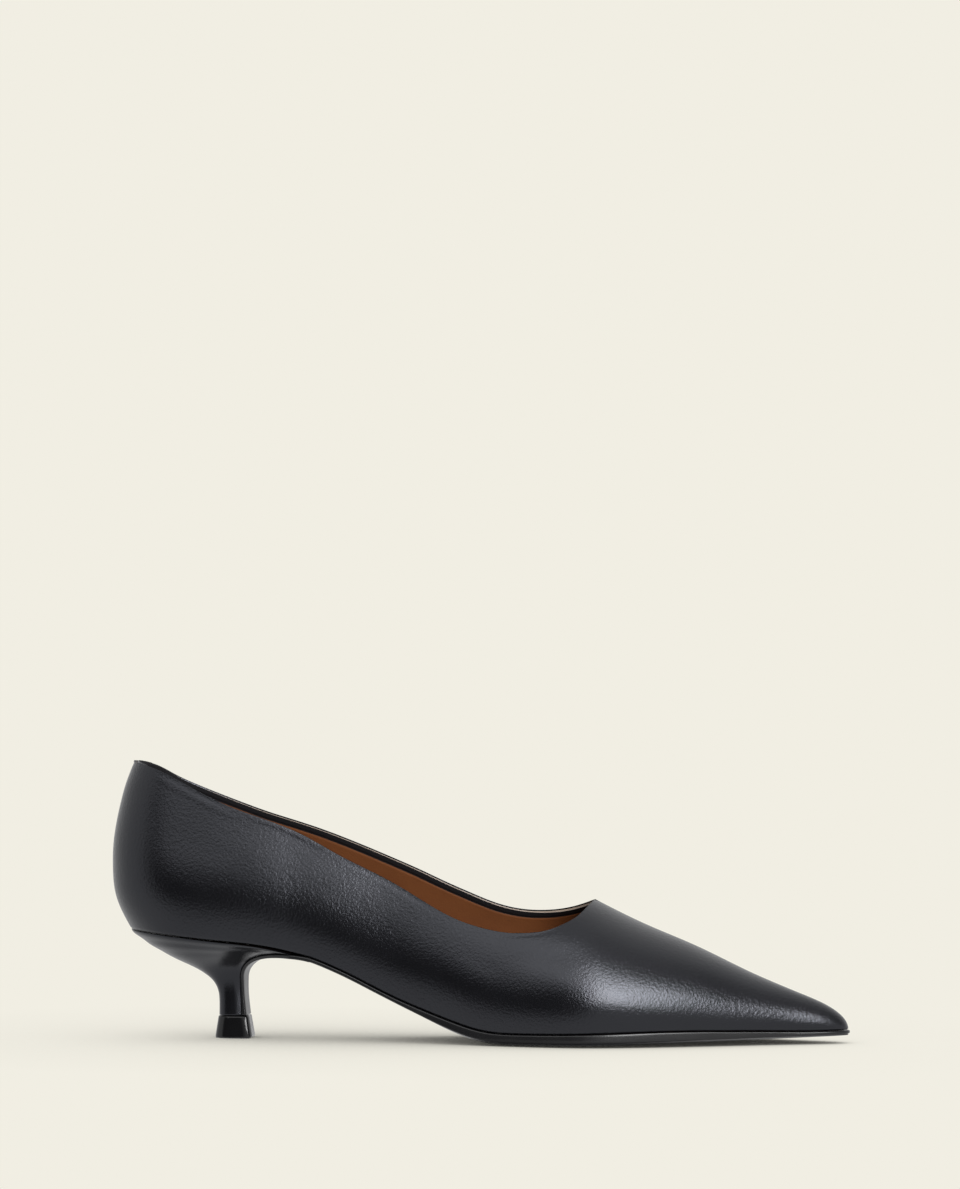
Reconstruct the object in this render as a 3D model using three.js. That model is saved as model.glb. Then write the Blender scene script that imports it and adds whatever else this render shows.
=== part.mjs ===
// Kitten heel pump for the right foot: upper, insole, outsole, heel and top piece.
// Millimetres. +X points to the toe, +Y to the inner side of the foot, +Z up. The floor is z = 0.
// Every table below holds shares of the driving sizes, one row for each section.

import * as THREE from 'three';
import { mergeVertices } from 'three/addons/utils/BufferGeometryUtils.js';

// Driving sizes of the last
const shoeLength = 270;
const seatWidth = 51;
const treadWidth = 70;
const heelHeight = 40;
const backHeight = 60.7;
const throatRise = 46;
const heelRound = 13.5;
const toeRound = 2.6;
const toeSpring = 3;
const springCurve = 1.35;
const seatDish = 1.5;

// Leather and sole
const wall = 1.8;
const insoleThick = 2.2;
const treadThick = 4.3;
const waistThick = 1.6;
const flapThick = 1.2;
const flapFootFlare = 0.6;
const flapFootReach = 0.22;
const treadEdgeLift = 1.25;
const waistEdgeLift = 0.25;
const soleLip = 0.3;

// Heel and its top piece
const stemHalfWidth = 6.2;
const stemDepth = 8.6;
const breastHollow = 0.4;
const stemBack = 39.5;
const topPieceHeight = 8.2;
const topPieceFlare = 0.8;
const topPieceRake = 1.3;
const topPieceLip = 0.3;

// Clearances between the pieces
const seamGap = 0.3;
const insolePlay = 0.3;
const insoleToeRelief = 2.5;

// Places along the shoe, as shares of its length
const throatAt = 0.661;
const throatSlantAt = 0.09;
const seatEndAt = 0.25;
const waistEndAt = 0.38;
const ballStartAt = 0.5;
const treadFullAt = 0.51;
const treadStartAt = 0.56;
const springStartAt = 0.63;
const heelTipAt = 0.258;
const soleSplitAt = 0.285;
const leanReachAt = 0.082;
const throat = throatAt * shoeLength;
const heelTip = heelTipAt * shoeLength;
const soleSplit = soleSplitAt * shoeLength;

// Half widths of the feather edge, as shares of the local width
const outline = [
  { at: 0.00, inner: 0.470, outer: 0.470 },
  { at: 0.06, inner: 0.490, outer: 0.490 },
  { at: 0.14, inner: 0.506, outer: 0.502 },
  { at: 0.22, inner: 0.486, outer: 0.496 },
  { at: 0.30, inner: 0.402, outer: 0.464 },
  { at: 0.38, inner: 0.301, outer: 0.403 },
  { at: 0.46, inner: 0.271, outer: 0.393 },
  { at: 0.54, inner: 0.337, outer: 0.454 },
  { at: 0.60, inner: 0.417, outer: 0.506 },
  { at: 0.66, inner: 0.474, outer: 0.520 },
  { at: 0.72, inner: 0.474, outer: 0.474 },
  { at: 0.79, inner: 0.404, outer: 0.380 },
  { at: 0.86, inner: 0.294, outer: 0.269 },
  { at: 0.93, inner: 0.174, outer: 0.160 },
  { at: 1.00, inner: 0.074, outer: 0.071 },
];

// Height of the sole's top above the tread, as a share of the rise to the heel seat
const arch = [
  { at: 0.000, rise: 0.990 },
  { at: 0.030, rise: 0.978 },
  { at: 0.096, rise: 0.944 },
  { at: 0.155, rise: 0.905 },
  { at: 0.207, rise: 0.868 },
  { at: 0.233, rise: 0.836 },
  { at: 0.259, rise: 0.793 },
  { at: 0.285, rise: 0.736 },
  { at: 0.312, rise: 0.656 },
  { at: 0.339, rise: 0.563 },
  { at: 0.390, rise: 0.371 },
  { at: 0.443, rise: 0.205 },
  { at: 0.482, rise: 0.099 },
  { at: 0.506, rise: 0.044 },
  { at: 0.530, rise: 0.011 },
  { at: 0.560, rise: 0.000 },
  { at: 0.600, rise: 0.000 },
];

// Thickness of the tread up to the toe, as a share of the tread's thickness
const tread = [
  { at: 0.50, thick: 1.00 },
  { at: 0.56, thick: 1.00 },
  { at: 0.61, thick: 1.03 },
  { at: 0.66, thick: 1.07 },
  { at: 0.74, thick: 1.10 },
  { at: 0.80, thick: 1.02 },
  { at: 0.85, thick: 0.86 },
  { at: 0.90, thick: 0.68 },
  { at: 0.94, thick: 0.53 },
  { at: 1.00, thick: 0.40 },
];

// Crest of the last: shares of the throat's rise and of the back's height. Behind the throat the
// crest is only the foot's own form, and the collar is cut below it.
const crest = [
  { at: 0.000, ofThroat: 0.000, ofBack: 1.633 },
  { at: 0.100, ofThroat: 0.050, ofBack: 1.513 },
  { at: 0.200, ofThroat: 0.200, ofBack: 1.280 },
  { at: 0.280, ofThroat: 0.450, ofBack: 1.003 },
  { at: 0.360, ofThroat: 0.800, ofBack: 0.697 },
  { at: 0.440, ofThroat: 1.150, ofBack: 0.356 },
  { at: 0.520, ofThroat: 1.300, ofBack: 0.097 },
  { at: 0.600, ofThroat: 1.178, ofBack: 0.000 },
  { at: 0.661, ofThroat: 1.000, ofBack: 0.000 },
  { at: 0.693, ofThroat: 0.900, ofBack: 0.000 },
  { at: 0.737, ofThroat: 0.776, ofBack: 0.000 },
  { at: 0.803, ofThroat: 0.609, ofBack: 0.000 },
  { at: 0.867, ofThroat: 0.437, ofBack: 0.000 },
  { at: 0.933, ofThroat: 0.287, ofBack: 0.000 },
  { at: 0.966, ofThroat: 0.210, ofBack: 0.000 },
  { at: 1.000, ofThroat: 0.110, ofBack: 0.000 },
];

// Rises of each rib's side, shoulder and ridge, as shares of the crest's height
const ribRises = [
  { at: 0.00, side: 0.18, shoulder: 0.48, ridge: 0.88 },
  { at: 0.15, side: 0.18, shoulder: 0.48, ridge: 0.88 },
  { at: 0.30, side: 0.19, shoulder: 0.49, ridge: 0.88 },
  { at: 0.40, side: 0.20, shoulder: 0.52, ridge: 0.89 },
  { at: 0.50, side: 0.22, shoulder: 0.58, ridge: 0.91 },
  { at: 0.60, side: 0.24, shoulder: 0.65, ridge: 0.93 },
  { at: 0.70, side: 0.26, shoulder: 0.68, ridge: 0.94 },
  { at: 0.80, side: 0.28, shoulder: 0.70, ridge: 0.95 },
  { at: 0.90, side: 0.30, shoulder: 0.71, ridge: 0.96 },
  { at: 1.00, side: 0.30, shoulder: 0.72, ridge: 0.98 },
];

// Spread of each rib: swells of its two sides as shares of the local width, its shoulder and ridge as
// shares of the half width at the side, and the shift of its crest as a share of the tread's width
const ribSpreads = [
  { at: 0.00, inner: 0.118, outer: 0.118, shoulder: 0.75, ridge: 0.440, shift: 0.00 },
  { at: 0.15, inner: 0.118, outer: 0.118, shoulder: 0.75, ridge: 0.440, shift: 0.00 },
  { at: 0.30, inner: 0.140, outer: 0.100, shoulder: 0.75, ridge: 0.430, shift: 0.01 },
  { at: 0.40, inner: 0.145, outer: 0.084, shoulder: 0.76, ridge: 0.410, shift: 0.02 },
  { at: 0.50, inner: 0.105, outer: 0.074, shoulder: 0.76, ridge: 0.390, shift: 0.03 },
  { at: 0.60, inner: 0.064, outer: 0.066, shoulder: 0.76, ridge: 0.385, shift: 0.03 },
  { at: 0.70, inner: 0.050, outer: 0.056, shoulder: 0.75, ridge: 0.380, shift: 0.03 },
  { at: 0.80, inner: 0.036, outer: 0.040, shoulder: 0.74, ridge: 0.370, shift: 0.02 },
  { at: 0.90, inner: 0.022, outer: 0.024, shoulder: 0.74, ridge: 0.360, shift: 0.01 },
  { at: 1.00, inner: 0.011, outer: 0.011, shoulder: 0.76, ridge: 0.360, shift: 0.00 },
];

// How far the back curve leans forward, as a share of its height, at shares of that height
const backLean = [
  { at: 0.00, lean: 0.111 },
  { at: 0.10, lean: 0.056 },
  { at: 0.20, lean: 0.018 },
  { at: 0.35, lean: 0.000 },
  { at: 0.50, lean: 0.001 },
  { at: 0.63, lean: 0.018 },
  { at: 0.77, lean: 0.048 },
  { at: 0.90, lean: 0.085 },
  { at: 1.00, lean: 0.125 },
];

// Height of the topline between the throat (0) and the back (1)
const collar = [
  { at: 0.000, inner: 1.000, outer: 1.000 },
  { at: 0.025, inner: 0.962, outer: 0.974 },
  { at: 0.060, inner: 0.885, outer: 0.932 },
  { at: 0.095, inner: 0.813, outer: 0.865 },
  { at: 0.130, inner: 0.742, outer: 0.779 },
  { at: 0.165, inner: 0.671, outer: 0.692 },
  { at: 0.200, inner: 0.604, outer: 0.622 },
  { at: 0.235, inner: 0.547, outer: 0.556 },
  { at: 0.270, inner: 0.488, outer: 0.476 },
  { at: 0.305, inner: 0.420, outer: 0.373 },
  { at: 0.340, inner: 0.346, outer: 0.273 },
  { at: 0.375, inner: 0.268, outer: 0.182 },
  { at: 0.410, inner: 0.187, outer: 0.079 },
  { at: 0.445, inner: 0.099, outer: -0.033 },
  { at: 0.480, inner: 0.017, outer: -0.128 },
  { at: 0.515, inner: -0.058, outer: -0.189 },
  { at: 0.550, inner: -0.102, outer: -0.222 },
  { at: 0.580, inner: -0.109, outer: -0.222 },
  { at: 0.605, inner: -0.096, outer: -0.203 },
  { at: 0.630, inner: -0.064, outer: -0.150 },
  { at: 0.648, inner: -0.029, outer: -0.086 },
  { at: 0.661, inner: 0.000, outer: 0.000 },
];

// Spread of the heel from its stem (0) to the seat (1), at shares of the heel's height
const flare = [
  { at: 0.000, reach: 0.000 },
  { at: 0.210, reach: 0.000 },
  { at: 0.350, reach: 0.000 },
  { at: 0.430, reach: 0.012 },
  { at: 0.480, reach: 0.035 },
  { at: 0.535, reach: 0.082 },
  { at: 0.590, reach: 0.163 },
  { at: 0.645, reach: 0.275 },
  { at: 0.700, reach: 0.419 },
  { at: 0.755, reach: 0.557 },
  { at: 0.810, reach: 0.675 },
  { at: 0.860, reach: 0.784 },
  { at: 0.920, reach: 0.882 },
  { at: 0.970, reach: 0.971 },
  { at: 1.000, reach: 1.000 },
];

// Breast of the heel: heights of its curve's controls and its run along the waist, as shares of the
// heel's height
const breastRise = { ankle: 0.3, low: 0.4, stem: 0.55, corner: 0.85 };
const breastRun = 0.16;

// Section of the stem: how much of its skin and of its depth is round, and how far it narrows in front
const stemRound = { share: 0.75, depth: 0.7, power: 2 / 3, narrowing: 0.08 };

// Share of the sole's half width that is flat underneath
const soleFlatShare = 0.6;

// Facets
const quarterSteps = 34;
const vampSteps = 18;
const ribSteps = 12;
const flapSteps = 20;
const acrossSteps = 10;
const heelLevels = 22;
const heelSideSteps = 12;
const dishSteps = 4;
const nudge = 0.01;

const { lerp, clamp, smoothstep } = THREE.MathUtils;

// Natural cubic spline through one column of a table, over its column "at"
function column(rows, name) {
  const last = rows.length - 1;
  const at = rows.map((row) => row.at);
  const value = rows.map((row) => row[name]);
  const sweep = rows.map(() => 0);
  const bend = rows.map(() => 0);
  for (let i = 1; i < last; i++) {
    const before = at[i] - at[i - 1];
    const after = at[i + 1] - at[i];
    const turn = (value[i + 1] - value[i]) / after - (value[i] - value[i - 1]) / before;
    const pivot = 2 * (before + after) - before * sweep[i - 1];
    sweep[i] = after / pivot;
    bend[i] = (6 * turn - before * bend[i - 1]) / pivot;
  }
  for (let i = last - 1; i > 0; i--) {
    bend[i] -= sweep[i] * bend[i + 1];
  }
  return (where) => {
    let i = 0;
    while (i < last - 1 && where > at[i + 1]) {
      i++;
    }
    const span = at[i + 1] - at[i];
    const a = (at[i + 1] - where) / span;
    const b = 1 - a;
    const bow = (a ** 3 - a) * bend[i] + (b ** 3 - b) * bend[i + 1];
    return a * value[i] + b * value[i + 1] + (bow * span ** 2) / 6;
  };
}

// Splines through several columns of one table, under their own names
function columns(rows, ...names) {
  return Object.fromEntries(names.map((name) => [name, column(rows, name)]));
}

const outlineOf = columns(outline, 'inner', 'outer');
const collarOf = columns(collar, 'inner', 'outer');
const riseOf = columns(ribRises, 'side', 'shoulder', 'ridge');
const spreadOf = columns(ribSpreads, 'inner', 'outer', 'shoulder', 'ridge', 'shift');
const crestOf = columns(crest, 'ofThroat', 'ofBack');
const archRise = column(arch, 'rise');
const treadShare = column(tread, 'thick');
const leanShare = column(backLean, 'lean');
const flareReach = column(flare, 'reach');

const sides = { inner: 1, outer: -1 };

// The last's plan

// Rounding of the plan towards one of its ends, 0 on the end itself
function endRound(distance, size) {
  return Math.sqrt(1 - Math.exp(-Math.max(distance, 0) / size));
}

function heelCap(x) {
  return endRound(x, heelRound);
}

function toeCap(x) {
  return endRound(shoeLength - x, toeRound);
}

function localWidth(at) {
  return lerp(seatWidth, treadWidth, smoothstep(at, seatEndAt, ballStartAt));
}

function featherHalf(x, side) {
  const at = x / shoeLength;
  return localWidth(at) * outlineOf[side](at) * heelCap(x) * toeCap(x);
}

function leanAt(x, height) {
  const share = clamp(height / backHeight, 0, 1);
  const fade = Math.exp(-((x / (leanReachAt * shoeLength)) ** 2));
  return backHeight * leanShare(share) * fade;
}

// A point of the feather edge in plan, moved outwards by the given distance
function edgePoint(x, side, outwards) {
  const a = Math.max(x - nudge, 0);
  const b = Math.min(x + nudge, shoeLength);
  const along = b + leanAt(b, 0) - a - leanAt(a, 0);
  const across = featherHalf(b, side) - featherHalf(a, side);
  let normal = new THREE.Vector2(-across, along).normalize();
  if (x <= 0) {
    normal = new THREE.Vector2(-1, 0);
  }
  if (x >= shoeLength) {
    normal = new THREE.Vector2(1, 0);
  }
  return new THREE.Vector2(
    x + leanAt(x, 0) + normal.x * outwards,
    sides[side] * (featherHalf(x, side) + normal.y * outwards),
  );
}

// Heights of the sole's top and of the edge of the upper that stands on it

function toeLift(x) {
  const share = (x / shoeLength - springStartAt) / (1 - springStartAt);
  return toeSpring * clamp(share, 0, 1) ** springCurve;
}

function treadDepth(x) {
  return treadThick * (x > treadStartAt * shoeLength ? treadShare(x / shoeLength) : 1);
}

function soleTop(x) {
  const at = x / shoeLength;
  const rise = at < treadStartAt ? archRise(at) * (heelHeight - treadThick) : 0;
  return treadDepth(x) + rise + toeLift(x);
}

function upperFoot(x) {
  return soleTop(x) + seamGap;
}

// Depth of the cupped seat at a place across the shoe, 0 on the edge and 1 on the middle line
function dishDepth(x, inwards) {
  const share = clamp(x / heelTip, 0, 1);
  return seatDish * 4 * share * (1 - share) * (1 - (1 - inwards) ** 2);
}

// The last's surface. Turn runs from -1 at the outer feather edge over 0 at the crest to 1 at the
// inner one, along a cubic B-spline over nine controls. The top one lies where the spline, which
// takes a sixth of each ridge and four sixths of the top, just reaches the crest's height.

function ribControls(x) {
  const at = x / shoeLength;
  const cap = heelCap(x) * toeCap(x);
  const body = throatRise * crestOf.ofThroat(at) + backHeight * crestOf.ofBack(at);
  const height = body * toeCap(x);
  const ridge = riseOf.ridge(at);
  const half = (side) => {
    const swell = localWidth(at) * spreadOf[side](at) * cap;
    const widest = featherHalf(x, side) + swell;
    return [
      [sides[side] * featherHalf(x, side), 0],
      [sides[side] * widest, riseOf.side(at) * height],
      [sides[side] * widest * spreadOf.shoulder(at), riseOf.shoulder(at) * height],
      [sides[side] * widest * spreadOf.ridge(at), ridge * height],
    ];
  };
  const top = [spreadOf.shift(at) * treadWidth * cap, ((6 - 2 * ridge) / 4) * height];
  return [...half('outer'), top, ...half('inner').reverse()];
}

function ribPoint(x, turn) {
  const controls = ribControls(x);
  const spans = controls.length - 1;
  const place = ((turn + 1) / 2) * spans;
  const span = Math.min(Math.floor(place), spans - 1);
  const t = place - span;
  const weights = [
    (1 - t) ** 3 / 6,
    (3 * t ** 3 - 6 * t ** 2 + 4) / 6,
    (-3 * t ** 3 + 3 * t ** 2 + 3 * t + 1) / 6,
    t ** 3 / 6,
  ];
  const control = (i, axis) => {
    if (i < 0) {
      return 2 * controls[0][axis] - controls[1][axis];
    }
    if (i > spans) {
      return 2 * controls[spans][axis] - controls[spans - 1][axis];
    }
    return controls[i][axis];
  };
  const sum = (axis) => weights.reduce((total, w, k) => total + w * control(span - 1 + k, axis), 0);
  return { y: sum(0), height: sum(1) };
}

function lastPoint(x, turn) {
  const { y, height } = ribPoint(x, turn);
  return new THREE.Vector3(x + leanAt(x, height), y, upperFoot(x) + height);
}

function lastNormal(x, turn) {
  const forward = lastPoint(Math.min(x + nudge, shoeLength), turn);
  forward.sub(lastPoint(Math.max(x - nudge, 0), turn));
  const around = lastPoint(x, Math.min(turn + nudge, 1));
  around.sub(lastPoint(x, Math.max(turn - nudge, -1)));
  const normal = forward.cross(around);
  if (x <= 0) {
    normal.y = 0;
  }
  return x >= shoeLength ? new THREE.Vector3(1, 0, 0) : normal.normalize();
}

// The turn at which a rib reaches the topline, found by halving
function collarTurn(x, side) {
  const throatZ = upperFoot(throat) + throatRise;
  const backZ = upperFoot(0) + backHeight;
  const target = lerp(throatZ, backZ, collarOf[side](x / shoeLength));
  let low = 1;
  let high = 0;
  for (let i = 0; i < 40; i++) {
    const middle = (low + high) / 2;
    if (lastPoint(x, sides[side] * middle).z < target) {
      low = middle;
    } else {
      high = middle;
    }
  }
  return high;
}

// Meshes from grids of points

function addQuad(triangles, a, b, c, d) {
  triangles.push([a, b, c], [a, c, d]);
}

// Faces between the rows of a grid. Their front is the side that (next row) x (next point) faces.
function addSheet(triangles, rows, turned) {
  for (let i = 0; i + 1 < rows.length; i++) {
    for (let j = 0; j + 1 < rows[i].length; j++) {
      const corners = [rows[i][j], rows[i + 1][j], rows[i + 1][j + 1], rows[i][j + 1]];
      if (turned) {
        corners.reverse();
      }
      addQuad(triangles, ...corners);
    }
  }
}

// A skin through rings of points. A ring goes out along one edge and comes back along the other, so
// that a ladder between the two closes an end.
function skinRings(rings, closedStart, closedEnd) {
  const triangles = [];
  const count = rings[0].length;
  for (let i = 0; i + 1 < rings.length; i++) {
    for (let j = 0; j < count; j++) {
      const k = (j + 1) % count;
      addQuad(triangles, rings[i][j], rings[i][k], rings[i + 1][k], rings[i + 1][j]);
    }
  }
  for (let j = 0; j + 1 < count / 2; j++) {
    const start = rings[0];
    const end = rings[rings.length - 1];
    if (closedStart) {
      addQuad(triangles, start[j + 1], start[j], start[count - 1 - j], start[count - 2 - j]);
    }
    if (closedEnd) {
      addQuad(triangles, end[j], end[j + 1], end[count - 2 - j], end[count - 1 - j]);
    }
  }
  return triangles;
}

function signedVolume(triangles) {
  const cross = new THREE.Vector3();
  return triangles.reduce((sum, [a, b, c]) => sum + cross.crossVectors(b, c).dot(a) / 6, 0);
}

// One closed body: shared points merged, folded-up faces dropped, fronts outwards
function makePiece(name, triangles, material) {
  const outwards = signedVolume(triangles) > 0;
  const places = triangles.flatMap(([a, b, c]) => (outwards ? [a, b, c] : [a, c, b]));
  const loose = new THREE.BufferGeometry().setFromPoints(places);
  const geometry = mergeVertices(loose, 1e-3);
  const index = Array.from(geometry.getIndex().array);
  const kept = [];
  for (let i = 0; i < index.length; i += 3) {
    const [a, b, c] = index.slice(i, i + 3);
    if (a !== b && b !== c && c !== a) {
      kept.push(a, b, c);
    }
  }
  geometry.setIndex(kept);
  geometry.computeVertexNormals();
  const piece = new THREE.Mesh(geometry, material);
  piece.name = name;
  return piece;
}

// Places of each rib at the topline or crest, and at its foot, which runs ahead near the throat.
// Insole and sole have their sections at the feet too, with one each where the heel ends and where
// the sole bends down, so that the seams between the pieces stay even.
function ribStations() {
  const slant = throatSlantAt * shoeLength;
  const list = [];
  for (let k = 0; k < quarterSteps; k++) {
    const top = throat * Math.sin((Math.PI * k) / (2 * quarterSteps)) ** 2;
    list.push({ top, foot: top + slant * (k / quarterSteps) ** 4 });
  }
  for (let k = 0; k < vampSteps; k++) {
    const share = Math.sin((Math.PI * k) / (2 * vampSteps));
    list.push({
      top: lerp(throat, shoeLength, share),
      foot: lerp(throat + slant, shoeLength, share),
    });
  }
  list.push({ top: shoeLength, foot: shoeLength });
  for (const foot of [heelTip, soleSplit]) {
    const i = list.findIndex((station) => station.foot > foot);
    const share = (foot - list[i - 1].foot) / (list[i].foot - list[i - 1].foot);
    list.splice(i, 0, { top: lerp(list[i - 1].top, list[i].top, share), foot });
  }
  return list;
}

const stations = ribStations();
const feet = stations.map(({ foot }) => foot);

// Upper: vamp and quarters as one shell, open at the collar and underneath
function makeUpper(material) {
  const triangles = [];
  for (const side of ['inner', 'outer']) {
    const outside = [];
    const inside = [];
    for (const { top, foot } of stations) {
      const topTurn = top < throat ? collarTurn(top, side) : 0;
      const outerRow = [];
      const innerRow = [];
      for (let j = 0; j <= ribSteps; j++) {
        const x = lerp(foot, top, j / ribSteps);
        const turn = sides[side] * lerp(1, topTurn, j / ribSteps);
        const point = lastPoint(x, turn);
        outerRow.push(point);
        innerRow.push(point.clone().addScaledVector(lastNormal(x, turn), -wall));
      }
      const inset = edgePoint(foot, side, -wall);
      innerRow[0].set(inset.x, inset.y, upperFoot(foot));
      outside.push(outerRow);
      inside.push(innerRow);
    }
    const isInner = side === 'inner';
    const open = stations.filter(({ top }) => top <= throat).length;
    const rim = (j, count) => outside.slice(0, count).map((row, i) => [row[j], inside[i][j]]);
    addSheet(triangles, outside, isInner);
    addSheet(triangles, inside, !isInner);
    addSheet(triangles, rim(0, stations.length), !isInner);
    addSheet(triangles, rim(ribSteps, open), isInner);
  }
  return makePiece('upper', triangles, material);
}

// Insole board with its sock, on the seat and the sole, inside the upper
function makeInsole(material) {
  const inset = wall + insolePlay;
  const rings = [];
  for (const x of feet) {
    const relief = insoleToeRelief * (x / shoeLength) ** 8;
    const a = edgePoint(x, 'outer', -inset);
    const b = edgePoint(x, 'inner', -inset);
    const under = [];
    const over = [];
    for (let j = 0; j <= acrossSteps; j++) {
      const share = j / acrossSteps;
      const place = a.clone().lerp(b, share);
      const z = upperFoot(x) - dishDepth(x, 1 - Math.abs(2 * share - 1));
      under.push(new THREE.Vector3(place.x - relief, place.y, z));
      over.push(new THREE.Vector3(place.x - relief, place.y, z + insoleThick));
    }
    rings.push([...over, ...under.reverse()]);
  }
  return makePiece('insole', skinRings(rings, false, false), material);
}

// Line of the sole's top where it leaves the upper and turns down the breast of the heel.
// Share 0 is the bottom of the flap and share 1 the place where it leaves the upper.

const heelFoot = topPieceHeight + seamGap;
const breastFoot = new THREE.Vector2(stemBack + stemDepth + seamGap, heelFoot);

// It heads back along a chord of the waist, so that it never rises above the waist's own line.
function breastCurve() {
  const run = breastRun * heelHeight;
  const start = new THREE.Vector2(soleSplit, soleTop(soleSplit));
  const waist = new THREE.Vector2(soleSplit - run, soleTop(soleSplit - run));
  const corner = new THREE.Vector2(breastFoot.x - breastHollow, breastRise.corner * heelHeight);
  const stem = new THREE.Vector2(breastFoot.x - breastHollow, breastRise.stem * heelHeight);
  const low = new THREE.Vector2(breastFoot.x - breastHollow, breastRise.low * heelHeight);
  const ankle = new THREE.Vector2(breastFoot.x, breastRise.ankle * heelHeight);
  const path = new THREE.CurvePath();
  path.add(new THREE.CubicBezierCurve(breastFoot, ankle, low, stem));
  path.add(new THREE.CubicBezierCurve(stem, corner, waist, start));
  return path;
}

const breast = breastCurve();
const heelTipShare = breastShareAt(heelTip);

// The share of the breast curve that lies above a place of the waist, found by halving
function breastShareAt(x) {
  let low = 0.5;
  let high = 1;
  for (let i = 0; i < 40; i++) {
    const middle = (low + high) / 2;
    if (breast.getPointAt(middle).x < x) {
      low = middle;
    } else {
      high = middle;
    }
  }
  return high;
}

// Forward and upward directions of the sole's top, in the plane of the shoe's length and height
function breastFrame(share) {
  const point = breast.getPointAt(share);
  const forward = breast.getTangentAt(share);
  return { point, up: new THREE.Vector2(-forward.y, forward.x) };
}

function heelReach(share) {
  return flareReach(lerp(heelFoot / heelHeight, 1, share));
}

// Half width of the heel's front edge and of the flap on it
function breastHalf(share, side) {
  const x = Math.max(breast.getPointAt(share).x, heelTip);
  const reach = heelReach(clamp(share / heelTipShare, 0, 1));
  return lerp(stemHalfWidth * stemShape(1).out, featherHalf(x, side), reach);
}

// Outsole: tread, waist and the flap down the heel's breast, all one thin piece
function makeOutsole(material) {
  const rings = [];
  for (let k = 0; k < flapSteps; k++) {
    const share = k / flapSteps;
    const { point, up } = breastFrame(share);
    const foot = clamp(1 - share / flapFootReach, 0, 1);
    const thick = lerp(flapThick, waistThick, share) + flapFootFlare * foot ** 2;
    const left = new THREE.Vector2(point.x, -breastHalf(share, 'outer'));
    const right = new THREE.Vector2(point.x, breastHalf(share, 'inner'));
    const lip = soleLip * smoothstep(share, heelTipShare, 1);
    left.y -= lip;
    right.y += lip;
    rings.push(soleRing(left, right, point.y, up, thick, waistEdgeLift));
  }
  for (const x of feet.filter((foot) => foot >= soleSplit)) {
    const left = edgePoint(x, 'outer', soleLip);
    const right = edgePoint(x, 'inner', soleLip);
    const slope = (soleTop(x + nudge) - soleTop(x - nudge)) / (2 * nudge);
    const up = new THREE.Vector2(-slope, 1).normalize();
    const onTread = smoothstep(x / shoeLength, waistEndAt, treadFullAt);
    const thick = lerp(waistThick, treadDepth(x), onTread);
    const lift = lerp(waistEdgeLift, treadEdgeLift, onTread) * Math.min(treadDepth(x) / treadThick, 1);
    if (x > treadStartAt * shoeLength) {
      up.set(0, 1);
    }
    rings.push(soleRing(left, right, soleTop(x), up, thick, lift));
  }
  return makePiece('outsole', skinRings(rings, true, false), material);
}

// One ring of the sole: its top from the outer to the inner edge, and back along its underside,
// which is flat in the middle and rounds up to both edges
function soleRing(left, right, z, up, thick, lift) {
  const over = [];
  const under = [];
  for (let j = 0; j <= acrossSteps; j++) {
    const share = j / acrossSteps;
    const place = left.clone().lerp(right, share);
    const outwards = Math.max(Math.abs(2 * share - 1) - soleFlatShare, 0) / (1 - soleFlatShare);
    const depth = thick - lift * outwards ** 2;
    over.push(new THREE.Vector3(place.x, place.y, z));
    under.push(new THREE.Vector3(place.x - up.x * depth, place.y, z - up.y * depth));
  }
  return [...over, ...under.reverse()];
}

// Heel

// Section of the stem: forward share from back to front, and out, its half width as a share. Its back
// is a quarter of a superellipse on each side, and its front part narrows a little to the breast.
function stemShape(share) {
  const angle = (Math.min(share / stemRound.share, 1) * Math.PI) / 2;
  const flat = Math.max(share - stemRound.share, 0) / (1 - stemRound.share);
  const round = stemRound.depth * (1 - Math.cos(angle) ** stemRound.power);
  return {
    forward: round + (1 - stemRound.depth) * flat,
    out: Math.sin(angle) ** stemRound.power * (1 - stemRound.narrowing * flat ** 2),
  };
}

// A point of the heel's side: share runs from the back to the breast, level from stem to seat
function heelSide(share, level, side) {
  const reach = heelReach(level);
  const seatX = heelTip * (1 - Math.cos((share * Math.PI) / 2));
  const seatBack = leanAt(0, 0);
  const stem = stemShape(share);
  const { point, up } = breastFrame(level * heelTipShare);
  const front = point.clone().addScaledVector(up, seamGap);
  const back = new THREE.Vector2(lerp(stemBack, seatBack, reach), lerp(heelFoot, soleTop(0), level));
  const forward = (seatX + leanAt(seatX, 0) - seatBack) / (heelTip - seatBack);
  const fall = (soleTop(0) - soleTop(seatX)) / (soleTop(0) - soleTop(heelTip));
  return new THREE.Vector3(
    lerp(back.x, front.x, lerp(stem.forward, forward, reach)),
    sides[side] * lerp(stemHalfWidth * stem.out, featherHalf(seatX, side), reach),
    lerp(back.y, front.y, lerp(stem.forward, fall, reach)),
  );
}

function makeHeel(material) {
  const rings = [];
  const ringOf = (pointOf) => {
    const ring = [];
    for (let j = 0; j <= heelSideSteps; j++) {
      ring.push(pointOf(j / heelSideSteps, 'inner'));
    }
    for (let j = heelSideSteps; j >= 0; j--) {
      ring.push(pointOf(j / heelSideSteps, 'outer'));
    }
    return ring;
  };
  for (let i = 0; i <= heelLevels; i++) {
    rings.push(ringOf((share, side) => heelSide(share, i / heelLevels, side)));
  }
  for (let i = 0; i <= dishSteps; i++) {
    const inwards = i / dishSteps;
    rings.push(ringOf((share, side) => {
      const x = heelTip * (1 - Math.cos((share * Math.PI) / 2));
      const y = sides[side] * featherHalf(x, side) * (1 - inwards);
      return new THREE.Vector3(x + leanAt(x, 0), y, soleTop(x) - dishDepth(x, inwards));
    }));
  }
  return makePiece('heel', skinRings(rings, true, false), material);
}

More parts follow.
